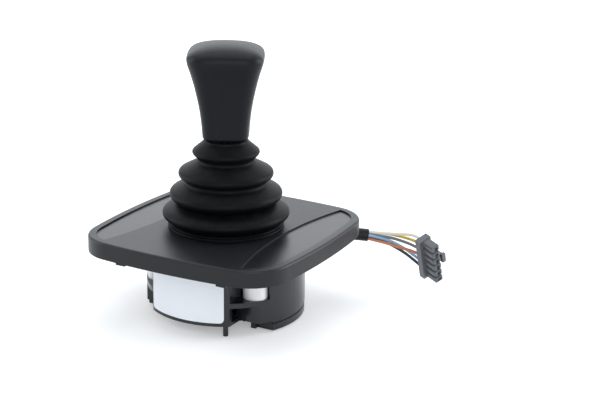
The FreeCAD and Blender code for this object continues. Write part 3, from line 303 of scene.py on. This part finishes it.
def noise_of_size(group, size, detail):
    """Noise whose blotches have a size in millimetres."""
    noise = add(group, "TexNoise")
    noise.inputs["Detail"].default_value = detail
    group.links.new(add(group, "TexCoord").outputs["Object"], noise.inputs["Vector"])
    group.links.new(calculate(group, "DIVIDE", 1 / MM, size), noise.inputs["Scale"])
    return noise


def build_grain():
    """Fine mould grain: a height for bump, and a mask that breaks up colour and gloss."""
    group, start, end = new_group(
        "mould_grain", [("Size", 0.4), ("Depth", 0.02)], ["Height", "Mask"])
    noise = noise_of_size(group, start.outputs["Size"], 3)
    depth = calculate(group, "MULTIPLY", noise.outputs["Fac"], start.outputs["Depth"])
    group.links.new(calculate(group, "MULTIPLY", depth, MM), end.inputs["Height"])
    group.links.new(noise.outputs["Fac"], end.inputs["Mask"])
    return group


GRAIN = build_grain()
print("grain group:", GRAIN.name)

# %% [markdown]
# ## Slow unevenness
#
# A large moulded face is never one even black: it cools unevenly and is handled. Dirt could be
# painted on by hand, but a second, much larger noise does it for every finish at once. It is kept
# weak, as it is in the photograph.

# %% Slow unevenness


def build_cloud():
    """Slow unevenness over a face, centred on one half."""
    group, start, end = new_group("slow_cloud", [("Size", 20.0)], ["Mask"])
    noise = noise_of_size(group, start.outputs["Size"], 2)
    noise.inputs["Roughness"].default_value = 0.6
    group.links.new(noise.outputs["Fac"], end.inputs["Mask"])
    return group


CLOUD = build_cloud()
print("cloud group:", CLOUD.name)

# %% [markdown]
# ## Dust
#
# Rubber and grained plastic hold a little dust where they look up. The normal says where that is,
# and a fine noise breaks the dust into specks, which looks truer than an even pale film.

# %% Dust
DUST_SCALE = 220
DUST_FACING = (0.2, 1)
DUST_SPECKS = (0.45, 0.75)


def build_dust():
    """A mask for the faint dust on faces that look up."""
    group, start, end = new_group("settled_dust", [("Amount", 0.1)], ["Mask"])
    facing = add(group, "SeparateXYZ")
    group.links.new(add(group, "NewGeometry").outputs["Normal"], facing.inputs[0])
    noise = add(group, "TexNoise")
    noise.inputs["Scale"].default_value = DUST_SCALE
    noise.inputs["Detail"].default_value = 5
    group.links.new(add(group, "TexCoord").outputs["Object"], noise.inputs["Vector"])
    up = map_range(group, facing.outputs["Z"], DUST_FACING)
    specks = map_range(group, noise.outputs["Fac"], DUST_SPECKS)
    both = calculate(group, "MULTIPLY", up, specks)
    share = calculate(group, "MULTIPLY", both, start.outputs["Amount"])
    group.links.new(share, end.inputs["Mask"])
    return group


DUST = build_dust()
print("dust group:", DUST.name)

# %% [markdown]
# ## Polished scoops
#
# The bezel is grained, but its two finger scoops are smooth. They are part of one moulding, so
# instead of a second material there is a mask: it finds the faces that look up and lie below the
# bezel's top, and only the floors of the scoops do both.

# %% Polished scoops
RECESS_FADE = 0.25 * MM
RECESS_FACING = (0.85, 0.95)


def build_polish():
    """A mask for faces that look up and lie below a level, such as the floor of a recess."""
    group, start, end = new_group("polished_recess", [("Level", 7.9)], ["Mask"])
    facing = add(group, "SeparateXYZ")
    group.links.new(add(group, "NewGeometry").outputs["Normal"], facing.inputs[0])
    height = add(group, "SeparateXYZ")
    group.links.new(add(group, "TexCoord").outputs["Object"], height.inputs[0])
    level = calculate(group, "MULTIPLY", start.outputs["Level"], MM)
    depth = calculate(group, "SUBTRACT", level, height.outputs["Z"])
    below = map_range(group, depth, (0, RECESS_FADE))
    up = map_range(group, facing.outputs["Z"], RECESS_FACING)
    group.links.new(calculate(group, "MULTIPLY", below, up), end.inputs["Mask"])
    return group


POLISH = build_polish()
print("polish group:", POLISH.name)

# %% [markdown]
# ## Moulded plastic and rubber
#
# One function makes every moulded finish. Each has its own colour, gloss, grain and dust, because
# two blacks side by side only look like two pieces when they shine differently. The gloss follows
# the same grain as the bump, as it does on a real mould.

# %% Moulded plastic and rubber
DUST_GREY = (0.3, 0.3, 0.3)
CLOUD_SIZE = 18.0
SCOOP_LEVEL = 7.9
SCOOP_ROUGHNESS = 0.28
# The part of a noise's range in which nearly all of its values lie
NOISE_SPAN = (0.3, 0.7)


def from_srgb(red, green, blue):
    """Linear colour from the 0 to 255 values that a screen shows."""
    def linear(value):
        share = value / 255
        return share / 12.92 if share <= 0.04045 else ((share + 0.055) / 1.055) ** 2.4
    return linear(red), linear(green), linear(blue)


def place_group(tree, group, **values):
    """A group in a tree, with its inputs set."""
    node = tree.nodes.new("ShaderNodeGroup")
    node.node_tree = group
    for name, value in values.items():
        node.inputs[name].default_value = value
    return node


def dusty(tree, base, amount):
    """A colour with grey dust on the faces that look up."""
    settled = place_group(tree, DUST, Amount=amount)
    mix = add(tree, "Mix", data_type="RGBA")
    tree.links.new(settled.outputs["Mask"], mix.inputs[0])
    tree.links.new(base, mix.inputs[6])
    mix.inputs[7].default_value = (*DUST_GREY, 1)
    return mix.outputs[2]


def polished_scoops(tree, roughness):
    """A roughness that drops to a smooth one in the finger scoops."""
    scoops = place_group(tree, POLISH, Level=SCOOP_LEVEL)
    mix = add(tree, "Mix", data_type="FLOAT")
    tree.links.new(scoops.outputs["Mask"], mix.inputs[0])
    tree.links.new(roughness, mix.inputs[2])
    mix.inputs[3].default_value = SCOOP_ROUGHNESS
    return mix.outputs[0]


def add_bump(tree, shader, height):
    bump = add(tree, "Bump")
    bump.inputs["Distance"].default_value = 1
    tree.links.new(height, bump.inputs["Height"])
    tree.links.new(bump.outputs["Normal"], shader.inputs["Normal"])


def moulded(name, colour, gloss, grain, depth, tone, dust=0.0, specular=0.5, scoops=False):
    """Moulded plastic or rubber: grain in the surface, slow tone changes, and some dust."""
    material, tree, shader = new_material(name)
    fine = place_group(tree, GRAIN, Size=grain, Depth=depth)
    slow = place_group(tree, CLOUD, Size=CLOUD_SIZE)
    dark, light = ([c * share for c in from_srgb(*colour)] for share in (1 - tone, 1 + tone))
    base = mix_colours(tree, slow.outputs["Mask"], dark, light)
    if dust:
        base = dusty(tree, base, dust)
    tree.links.new(base, shader.inputs["Base Color"])
    roughness = map_range(tree, fine.outputs["Mask"], NOISE_SPAN, gloss)
    if scoops:
        roughness = polished_scoops(tree, roughness)
    tree.links.new(roughness, shader.inputs["Roughness"])
    shader.inputs["Specular IOR Level"].default_value = specular
    add_bump(tree, shader, fine.outputs["Height"])
    return material


# Material, colour, roughness from and to, grain size and depth, change of tone, dust, specular
FINISHES = {slot: moulded(*row) for slot, row in {
    "bezel": ("bezel_grained", (22, 23, 26), (0.33, 0.46), 0.35, 0.03, 0.08, 0.01, 0.3, True),
    "base": ("base_black", (27, 29, 33), (0.17, 0.24), 0.3, 0.006, 0.1, 0, 0.45),
    "base_cover": ("cover_black", (28, 30, 34), (0.24, 0.32), 0.3, 0.008, 0.1, 0, 0.4),
    "knob": ("knob_soft_black", (16, 18, 22), (0.36, 0.44), 0.25, 0.006, 0.06, 0.01, 0.15),
    "gaiter": ("gaiter_rubber", (9, 10, 12), (0.42, 0.52), 0.3, 0.012, 0.15, 0.015, 0.08),
    "label": ("label_film", (240, 244, 248), (0.3, 0.38), 2.0, 0.003, 0.02),
    "white_nylon": ("spacer_nylon", (250, 250, 249), (0.35, 0.45), 0.8, 0.004, 0.01),
    "gate_nylon": ("gate_nylon", (215, 214, 208), (0.4, 0.5), 0.6, 0.006, 0.03),
    "bush": ("bush_polymer", (196, 186, 160), (0.35, 0.45), 0.5, 0.006, 0.05),
    "gimbal_plastic": ("inner_black", (60, 60, 63), (0.45, 0.55), 0.4, 0.01, 0.08),
    "grommet": ("grommet_rubber", (20, 20, 22), (0.5, 0.6), 0.3, 0.01, 0.1, 0, 0.25),
    "jacket": ("jacket_black", (18, 18, 21), (0.35, 0.45), 0.5, 0.01, 0.08, 0, 0.2),
    "connector": ("plug_black", (88, 90, 95), (0.3, 0.42), 0.3, 0.01, 0.06),
    "chip": ("chip_epoxy", (26, 26, 27), (0.45, 0.6), 0.2, 0.01, 0.05),
    "header": ("header_nylon", (224, 220, 206), (0.4, 0.5), 0.5, 0.006, 0.03),
    "board": ("board_mask", (28, 92, 52), (0.2, 0.3), 1.5, 0.006, 0.1),
}.items()}
print("moulded finishes:", len(FINISHES))

# %% [markdown]
# ## Wire insulation
#
# The six wires have the same soft insulation and differ only in colour. Their colours are those of
# the photograph, so one recipe is used six times.

# %% Wire insulation
for slot, colour in {
        "wire_cream": (234, 228, 212), "wire_yellow": (206, 178, 78), "wire_grey": (118, 122, 128),
        "wire_orange": (192, 120, 86), "wire_blue": (132, 168, 200), "wire_black": (28, 28, 32),
}.items():
    FINISHES[slot] = moulded(slot, colour, (0.35, 0.45), 0.6, 0.004, 0.04)
print("finishes with the wires:", len(FINISHES))

# %% [markdown]
# ## Metal
#
# Screws, pins and the plate are plated or ground steel, and the inserts are brass. A metal has no
# colour of its own under its shine, so its colour is that of its reflection, and only its polish
# is uneven. The same grain group gives that, at a smaller depth.

# %% Metal
METAL_DEPTH = 0.004
METAL_DARK = 0.9


def metal(name, colour, gloss, grain=0.3):
    """Bare or plated metal with a slightly uneven polish."""
    material, tree, shader = new_material(name)
    fine = place_group(tree, GRAIN, Size=grain, Depth=METAL_DEPTH)
    light = from_srgb(*colour)
    dark = [c * METAL_DARK for c in light]
    base = mix_colours(tree, fine.outputs["Mask"], dark, light)
    tree.links.new(base, shader.inputs["Base Color"])
    roughness = map_range(tree, fine.outputs["Mask"], NOISE_SPAN, gloss)
    tree.links.new(roughness, shader.inputs["Roughness"])
    shader.inputs["Metallic"].default_value = 1
    add_bump(tree, shader, fine.outputs["Height"])
    return material


# Material, colour, roughness from and to, grain size
FINISHES.update({slot: metal(*row) for slot, row in {
    "plate_steel": ("plate_zinc", (168, 170, 174), (0.35, 0.5), 1.2),
    "screw_steel": ("screw_zinc", (176, 178, 182), (0.25, 0.4)),
    "gimbal_metal": ("gimbal_alloy", (186, 187, 190), (0.3, 0.42)),
    "pin_steel": ("pin_steel", (190, 190, 194), (0.12, 0.2)),
    "shaft_steel": ("shaft_steel", (180, 181, 184), (0.15, 0.26)),
    "spring_steel": ("spring_steel", (150, 151, 155), (0.25, 0.36)),
    "magnet": ("magnet_nickel", (182, 180, 172), (0.12, 0.22)),
    "brass": ("insert_brass", (206, 172, 96), (0.22, 0.34)),
    "terminal": ("terminal_tin", (190, 188, 180), (0.25, 0.4)),
}.items()})
print("all finishes:", len(FINISHES))

# %% [markdown]
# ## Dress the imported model
#
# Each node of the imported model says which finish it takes. It only needs that material on its
# mesh, because the noise is in the piece's own space and wants no unwrapping.

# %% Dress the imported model
for part in frame["record"]["subparts"]:
    mesh = nodes[part["node"]].data
    mesh.materials.clear()
    mesh.materials.append(FINISHES[part["material_slot"]])

# %% [markdown]
# ## Helpers for meshes
#
# The soft and the finely rounded pieces are made from points and faces. Modifiers could give the
# same shapes, but a mesh built from its outline has its points just where they are wanted, and it
# bends well. Smooth shading with sharp edges above an angle keeps the crisp edges crisp.

# %% Helpers for meshes


def make_piece(name, points, faces, slot, body=None, smooth_angle=35):
    """A mesh object from points in millimetres, with its finish, riding on a body."""
    mesh = bpy.data.meshes.new(name)
    mesh.from_pydata([tuple(c * MM for c in p) for p in points], [], faces)
    shape = bmesh.new()
    shape.from_mesh(mesh)
    bmesh.ops.remove_doubles(shape, verts=shape.verts, dist=1e-6)
    bmesh.ops.recalc_face_normals(shape, faces=shape.faces)
    shape.to_mesh(mesh)
    shape.free()
    mesh.shade_smooth()
    mesh.set_sharp_from_angle(angle=math.radians(smooth_angle))
    mesh.materials.append(FINISHES[slot])
    piece = bpy.data.objects.new(name, mesh)
    scene.collection.objects.link(piece)
    if body:
        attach(piece, body)
    return piece


def ring(radius, height, count, turned=0.0):
    """Points on a level circle."""
    angles = [2 * math.pi * k / count + turned for k in range(count)]
    return [(radius * math.cos(angle), radius * math.sin(angle), height) for angle in angles]


def band(one, two, count):
    """Faces between two closed rows of points, from the first point of each row."""
    return [(one + k, one + (k + 1) % count, two + (k + 1) % count, two + k) for k in range(count)]


print("mesh helpers: make_piece, ring, band")

# %% [markdown]
# ## Gaiter: its outline
#
# The gaiter is a rubber bellows with four folds, and its outline is a zigzag whose corners are
# rounded. Each corner is written with its radius, and one function turns that into a fine line.
# This is easier to fit to a photograph than a free curve, because each crest and each valley has
# its own numbers. The radii and heights are those of the folds in the photograph.

# %% Gaiter outline
WALL = 1.9
NECK_RADIUS = 10.4
NECK_WALL = 1.5
SHAFT_RADIUS = 5.0
NECK_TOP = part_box("gaiter")[1].z / MM
FOOT_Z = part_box("gaiter")[0].z / MM
BEZEL_Z = BEZEL_TOP / MM
SPLIT_Z = 20.1
SPLIT_RADIUS = 23.4

# Radius, height and rounding of the corners, from the neck down
UPPER_FOLDS = [
    (16.5, 44.4, 1.4), (12.8, 40.4, 1.3), (24.8, 34.0, 2.2), (18.4, 30.3, 1.4), (28.5, 24.5, 2.5)]
LOWEST_FOLD = [(31.8, 15.0, 2.2), (26.2, 10.6, 0.8)]
# The lip on the bezel, and the foot in its opening
FOOT = [
    (26.2, BEZEL_Z + 1.5, 0.3), (27.6, BEZEL_Z + 1.5, 0.5), (27.6, BEZEL_Z, 0.2), (24.2, BEZEL_Z),
    (24.2, 5.5), (27.0, 5.5), (27.0, FOOT_Z)]


def rounded_line(corners, steps=6):
    """A line through (across, up) corners, each rounded by its third value where it has one."""
    line = []
    for i, corner in enumerate(corners):
        here = Vector(corner[:2])
        if len(corner) < 3:
            line.append(tuple(here))
            continue
        radius = corner[2]
        back = (Vector(corners[i - 1][:2]) - here).normalized()
        on = (Vector(corners[i + 1][:2]) - here).normalized()
        half = back.angle(on) / 2
        reach = radius / math.tan(half)
        centre = here + (back + on).normalized() * (radius / math.sin(half))
        first = here + back * reach - centre
        sweep = first.angle_signed(here + on * reach - centre)
        for k in range(steps + 1):
            spoke = first.copy()
            spoke.rotate(Matrix.Rotation(-sweep * k / steps, 2))
            line.append(tuple(centre + spoke))
    return line


print("gaiter from", round(FOOT_Z, 1), "to", round(NECK_TOP, 1), "mm")

# %% [markdown]
# ## Gaiter: its two halves
#
# The gaiter has to bend with the lever, which turns about two crossed axes. Here it is made in
# two halves, a lower and an upper one. They meet in the valley above the lowest fold, where a
# joint in the surface isn't seen. Each is turned round the axis like a pot.

# %% Gaiter halves
INNER_ROUNDING = 1.0


def lathe(line, count=96):
    """Points and faces of a closed line of (radius, height), turned about Z."""
    points = []
    faces = []
    for row, (radius, height) in enumerate(line):
        points += ring(radius, height, count)
        faces += band(row * count, (row + 1) % len(line) * count, count)
    return points, faces


def gaiter_half(name, outline):
    return make_piece(name, *lathe(rounded_line(outline)), "gaiter", smooth_angle=50)


split_outside = (SPLIT_RADIUS, SPLIT_Z)
split_inside = (SPLIT_RADIUS - WALL, SPLIT_Z)
upper_outside = [
    (SHAFT_RADIUS, NECK_TOP), (NECK_RADIUS, NECK_TOP, 0.5), (NECK_RADIUS + 0.3, 49.3, 0.8),
    *UPPER_FOLDS, split_outside]
upper_inside = [
    split_inside,
    *((fold[0] - WALL, fold[1], INNER_ROUNDING) for fold in reversed(UPPER_FOLDS)),
    (NECK_RADIUS - WALL, NECK_TOP - NECK_WALL), (SHAFT_RADIUS, NECK_TOP - NECK_WALL)]
lower_outside = [split_outside, *LOWEST_FOLD, *FOOT]
# From the foot up: the wall is thicker there, because the foot is clamped
lower_inside = [(22.6, FOOT_Z), (22.6, BEZEL_Z), (24.3, 10.6), (28.8, 15.0, 1.6), split_inside]

upper = gaiter_half("gaiter_upper", upper_outside + upper_inside)
lower = gaiter_half("gaiter_lower", lower_outside + lower_inside)
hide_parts("gaiter")
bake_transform(lower)
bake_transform(upper)
print("gaiter faces:", len(lower.data.polygons) + len(upper.data.polygons))

# %% [markdown]
# ## Centring spring
#
# Inside the gaiter a conical spring pushes the lever upright. A curve with a round section would
# do, but a mesh can be cut at a chosen place. Like the gaiter, the spring is made in two halves,
# each a tube along a stretch of the coil.

# %% Centring spring
SPRING_LOW, SPRING_HIGH = (corner.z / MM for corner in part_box("centring_spring"))
SPRING_WIDE, SPRING_NARROW = 15.2, 8.6
SPRING_WIRE = 0.8
SPRING_TURNS = 5
SPRING_SPLIT = 0.27


def coil_point(share):
    """The middle of the spring's wire at a share of its height."""
    angle = 2 * math.pi * SPRING_TURNS * share
    radius = SPRING_WIDE + (SPRING_NARROW - SPRING_WIDE) * share
    height = SPRING_LOW + SPRING_WIRE + (SPRING_HIGH - SPRING_LOW - 2 * SPRING_WIRE) * share
    return Vector((radius * math.cos(angle), radius * math.sin(angle), height))


def coil(name, low, high, steps=72, around=10):
    """A tube along part of the coil, closed at its ends."""
    points = []
    for i in range(steps + 1):
        share = low + (high - low) * i / steps
        here = coil_point(share)
        along = (coil_point(share + 1e-4) - here).normalized()
        out = Vector((here.x, here.y, 0)).normalized()
        up = along.cross(out).normalized()
        for k in range(around):
            angle = 2 * math.pi * k / around
            spoke = out * math.cos(angle) + up * math.sin(angle)
            points.append(tuple(here + spoke * SPRING_WIRE))
    faces = []
    for i in range(steps):
        faces += band(i * around, (i + 1) * around, around)
    faces.append(tuple(range(around)))
    faces.append(tuple(range(steps * around, (steps + 1) * around)))
    return make_piece(name, points, faces, "spring_steel")


spring_low = coil("spring_lower", 0, SPRING_SPLIT)
spring_high = coil("spring_upper", SPRING_SPLIT, 1)
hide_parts("centring_spring")
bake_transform(spring_low)
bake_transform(spring_high)
print("spring faces:", len(spring_low.data.polygons) + len(spring_high.data.polygons))

# %% [markdown]
# ## Knob: the shape of its section
#
# Seen from above, the knob is a square with bowed sides and round corners. A polar form of that
# outline, a distance for each angle, keeps the points of all rings in line, so the surface flows
# upwards without a twist.

# %% Knob section
KNOB_CORNER = 0.5
KNOB_BOW = 0.07


def unit_square(angle):
    """Distance from the centre to a square of half width 1 with bowed sides and round corners."""
    side = (1 + KNOB_BOW * KNOB_BOW) / (2 * KNOB_BOW)
    lift = side - 1
    reach = side - KNOB_CORNER
    centre = (math.sqrt(2 * reach * reach - lift * lift) - lift) / 2
    angle = (angle + math.pi / 4) % (math.pi / 2) - math.pi / 4
    slope = math.atan2(side * centre / reach, side * (centre + lift) / reach - lift)
    if abs(angle) <= slope:
        cosine = math.cos(angle)
        return math.sqrt(lift * lift * cosine * cosine - lift * lift + side * side) - lift * cosine
    both = centre * (math.cos(angle) + math.sin(abs(angle)))
    return both + math.sqrt(both * both - 2 * centre * centre + KNOB_CORNER * KNOB_CORNER)


print("knob corner reaches", round(unit_square(math.pi / 4), 3), "half widths")

# %% [markdown]
# ## Knob: its profile
#
# The knob widens upwards in a slow curve and closes in a flat dome. Its half widths were read from
# the photograph at a dozen heights. A smooth curve runs through them, so that the light slides over
# the sides, and the dome is a rounder relative of the ellipse.

# %% Knob profile
KNOB_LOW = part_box("knob")[0].z / MM
KNOB_HIGH = 96.0
KNOB_WIDEST = 18.0
DOME_LOW = 89.5
DOME_POWER = 2.2
DOME_STEPS = 24
# Height and half width, from the lower rim to the widest place
KNOB_PROFILE = [
    (51.6, 10.35), (52.2, 10.75), (53.2, 10.92), (56, 11.12), (60, 11.5), (64.1, 12.0),
    (68.9, 12.82), (73.6, 13.8), (78.4, 14.92), (82.1, 15.95), (85, 16.85), (87.8, 17.72),
    (DOME_LOW, KNOB_WIDEST)]


def knob_rings():
    """(half width, height, roundness) of each ring, from the lower rim to the apex."""
    heights = np.array([p[0] for p in KNOB_PROFILE])
    widths = np.array([p[1] for p in KNOB_PROFILE])
    slopes = np.gradient(widths, heights)
    rings = []
    for i in range(len(heights) - 1):
        gap = heights[i + 1] - heights[i]
        for s in (0, 0.25, 0.5, 0.75):
            width = ((2 * s**3 - 3 * s**2 + 1) * widths[i] + (3 * s**2 - 2 * s**3) * widths[i + 1]
                     + (s**3 - 2 * s**2 + s) * gap * slopes[i]
                     + (s**3 - s**2) * gap * slopes[i + 1])
            rings.append((width, heights[i] + gap * s, 0))
    for k in range(DOME_STEPS + 1):
        swing = math.pi / 2 * k / DOME_STEPS
        across = math.cos(swing) ** (2 / DOME_POWER)
        up = math.sin(swing) ** (2 / DOME_POWER)
        rings.append((KNOB_WIDEST * across, DOME_LOW + (KNOB_HIGH - DOME_LOW) * up, 1 - across))
    return rings


print("knob rings:", len(knob_rings()))

# %% [markdown]
# ## Knob: the moulding
#
# The rings are joined into one smooth moulding. Towards the apex the square melts into a circle, or
# its corners would meet in a cross. The two halves of the mould leave a fine line down the front
# and the back. Underneath there is room for the lock nut, and a seat for the brass insert.

# %% Knob moulding
KNOB_TURN = math.radians(28.5)
APEX_REACH = 1.1
SEAM_DEPTH = 0.12
SEAM_HALF = 0.01
NUT_RADIUS, NUT_DEPTH = 8.2, 7
INSERT_RADIUS, INSERT_DEPTH = 6.0, 24


def knob_ring(width, height, roundness, count):
    """One ring of the knob, with the seam in it."""
    points = []
    for k in range(count):
        angle = 2 * math.pi * k / count
        reach = unit_square(angle) * (1 - roundness) + roundness * APEX_REACH
        off_seam = min(abs(angle - math.pi / 2), abs(angle - 3 * math.pi / 2))
        seam = SEAM_DEPTH if off_seam < SEAM_HALF and width > 1 else 0
        radius = width * reach - seam
        turned = angle + KNOB_TURN
        points.append((radius * math.cos(turned), radius * math.sin(turned), height))
    return points


def make_knob(count=144):
    points = []
    faces = []
    rings = knob_rings()
    for width, height, roundness in rings:
        points += knob_ring(width, height, roundness, count)
    for row in range(len(rings) - 1):
        faces += band(row * count, (row + 1) * count, count)
    below = 0
    for radius, depth in (
            (NUT_RADIUS, 0), (NUT_RADIUS, NUT_DEPTH),
            (INSERT_RADIUS, NUT_DEPTH), (INSERT_RADIUS, INSERT_DEPTH)):
        faces += band(below, len(points), count)
        below = len(points)
        points += ring(radius, KNOB_LOW + depth, count, KNOB_TURN)
    faces.append(tuple(range(below, below + count)))
    return make_piece("knob_moulding", points, faces, "knob", "lever", smooth_angle=40)


knob = make_knob()
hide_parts("knob")
print("knob faces:", len(knob.data.polygons))

# %% [markdown]
# ## Label
#
# A blank white label is wrapped round the front of the base. It is a film with round corners. A
# flat sheet with a shrinkwrap would follow the wall too, but the wall is a plain cylinder, so the
# film's points are placed on it directly: a thin shell with its edge turned in to the wall.

# %% Label
LABEL_RADIUS = 38.0
LABEL_FILM = 0.12
LABEL_SUNK = 0.02
LABEL_LOW, LABEL_HIGH = (corner.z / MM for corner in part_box("label"))
LABEL_START, LABEL_END = -122.4, -60.4
LABEL_CORNER = 2.0


def label_rows(steps=6):
    """(height, inset) of each row of points, with the round corners as insets."""
    rows = []
    for k in range(steps + 1):
        swing = math.pi / 2 * k / steps
        rows.append((
            LABEL_LOW + LABEL_CORNER * (1 - math.cos(swing)), LABEL_CORNER * (1 - math.sin(swing))))
    return rows + [(LABEL_HIGH + LABEL_LOW - height, inset) for height, inset in reversed(rows)]


def make_label(columns=48):
    middle = math.radians((LABEL_START + LABEL_END) / 2)
    half = math.radians((LABEL_END - LABEL_START) / 2) * LABEL_RADIUS
    rows = label_rows()
    points = []
    for radius in (LABEL_RADIUS + LABEL_FILM, LABEL_RADIUS - LABEL_SUNK):
        for height, inset in rows:
            for k in range(columns + 1):
                along = -(half - inset) + 2 * (half - inset) * k / columns
                angle = middle + along / LABEL_RADIUS
                points.append((radius * math.cos(angle), radius * math.sin(angle), height))
    width = columns + 1
    under = width * len(rows)
    faces = []
    for row in range(len(rows) - 1):
        for k in range(columns):
            a = row * width + k
            faces.append((a, a + 1, a + 1 + width, a + width))
            faces.append((a + under, a + width + under, a + 1 + width + under, a + 1 + under))
    edge = list(range(width))
    edge += [row * width + columns for row in range(1, len(rows))]
    edge += [(len(rows) - 1) * width + k for k in range(columns - 1, -1, -1)]
    edge += [row * width for row in range(len(rows) - 2, 0, -1)]
    for one, two in zip(edge, edge[1:] + edge[:1]):
        faces.append((one, one + under, two + under, two))
    return make_piece("label_film", points, faces, "label", "base")


label = make_label()
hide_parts("label")
print("label faces:", len(label.data.polygons))

# %% [markdown]
# ## Harness: its routes
#
# A short jacketed lead leaves the base on its far right side. Six thin wires come out of the jacket
# and run to a six-way plug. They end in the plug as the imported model's do, and otherwise follow the
# photograph, where the cream and the grey wire trade places at the jacket. The points are in
# millimetres: along the lead, across it, and above the panel face.

# %% Harness routes
LEAD_TURN = Matrix.Rotation(math.radians(28.5), 3, "Z")
EXIT_ANGLE = math.radians(53.5)
EXIT_RADIUS = 34.2
EXIT_Z = -5.5
JACKET_START = (EXIT_RADIUS * math.cos(EXIT_ANGLE), EXIT_RADIUS * math.sin(EXIT_ANGLE), EXIT_Z)
JACKET_ROUTE = [(40.93, 19.08, -5.5), (52, 23.6, -4.6), (61, 26.6, -4.7), (69, 27, -5.8)]
WIRE_ROUTES = {
    "wire_cream": (
        (69.24, 27.01, -4.07), (73.04, 26.46, -4.19), (78.92, 24.81, -4.01),
        (85.22, 21.12, -3.02), (89.08, 17.49, -1.95), (92.05, 13.92, -1.45), (94.82, 10.5, -2.38)),
    "wire_yellow": (
        (68.99, 28.67, -5.26), (73.56, 28.43, -4.99), (79.22, 26.94, -4.85),
        (85.9, 22.7, -4.98), (89.79, 18.9, -4.93), (92.69, 15.42, -5.06), (95.46, 12, -5.99)),
    "wire_grey": (
        (69, 27, -5.8), (73.21, 27.2, -6.13), (79.6, 26.55, -6.53),
        (86.5, 23.04, -7.46), (90.38, 19.95, -8.07), (93.33, 16.91, -8.67), (96.1, 13.49, -9.6)),
    "wire_orange": (
        (68.86, 25.96, -7.2), (72.88, 25.48, -7.96), (79.02, 24.29, -9.19),
        (86.77, 21.99, -10.82), (90.8, 20.44, -11.57), (93.96, 18.41, -12.28),
        (96.73, 14.99, -13.21)),
    "wire_blue": (
        (69.16, 25.34, -5.26), (73.1, 25.4, -6.06), (79.38, 25.28, -7.67),
        (86.88, 24.03, -11.15), (91.42, 22.19, -13.99), (94.6, 19.91, -15.89),
        (97.37, 16.48, -16.82)),
    "wire_black": (
        (68.76, 28.02, -7.2), (73, 27.89, -8.1), (79.32, 27.29, -10),
        (86.95, 25.61, -13.89), (91.75, 23.76, -17.17), (95.24, 21.4, -19.5),
        (98.01, 17.98, -20.43)),
}


def along_lead(point):
    """A route's point in the frame's own directions."""
    return tuple(LEAD_TURN @ Vector(point))


print("routes:", len(WIRE_ROUTES))

# %% [markdown]
# ## Harness: its cords
#
# A cord is a curve with a round section. It could be a tube of faces like the spring, but a curve
# keeps its route and its thickness apart, and stays smooth with few points.

# %% Harness cords
JACKET_RADIUS = 3.1
WIRE_RADIUS = 0.75


def smooth_curve(name, points, steps):
    """Curve data with one smooth line, from control points in millimetres."""
    data = bpy.data.curves.new(name, "CURVE")
    data.dimensions = "3D"
    data.resolution_u = steps
    line = data.splines.new("NURBS")
    line.points.add(len(points) - 1)
    for point, spot in zip(line.points, points):
        point.co = (*(c * MM for c in spot), 1)
    line.order_u = 3
    line.use_endpoint_u = True
    return data


def cord_curve(name, points, radius, slot):
    """A round cord along a smooth curve, which rides on the base."""
    data = smooth_curve(name, points, 16)
    data.bevel_depth = radius * MM
    data.bevel_resolution = 5
    data.use_fill_caps = True
    data.materials.append(FINISHES[slot])
    cord = bpy.data.objects.new(name, data)
    scene.collection.objects.link(cord)
    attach(cord, "base")
    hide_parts(name.replace("_cord", ""))
    return cord


def line_length(points):
    """Length of the smooth curve in metres, measured on fine steps."""
    line = bpy.data.objects.new("measure", smooth_curve("measure", points, 24))
    mesh = bpy.data.meshes.new_from_object(line)
    spots = [vertex.co for vertex in mesh.vertices]
    total = sum((spots[a] - spots[b]).length for a, b in (edge.vertices for edge in mesh.edges))
    bpy.data.objects.remove(line)
    bpy.data.meshes.remove(mesh)
    return round(total, 4)


jacket_points = [JACKET_START] + [along_lead(p) for p in JACKET_ROUTE]
jacket = cord_curve("cable_jacket_cord", jacket_points, JACKET_RADIUS, "jacket")
for name, route in WIRE_ROUTES.items():
    points = [along_lead(p) for p in route]
    wire = cord_curve(name + "_cord", points, WIRE_RADIUS, name)
    line_length(points)
    print(name, "is", round(line_length(points) / MM, 1), "mm long")
line_length(jacket_points)
print("jacket is", round(line_length(jacket_points) / MM, 1), "mm long")
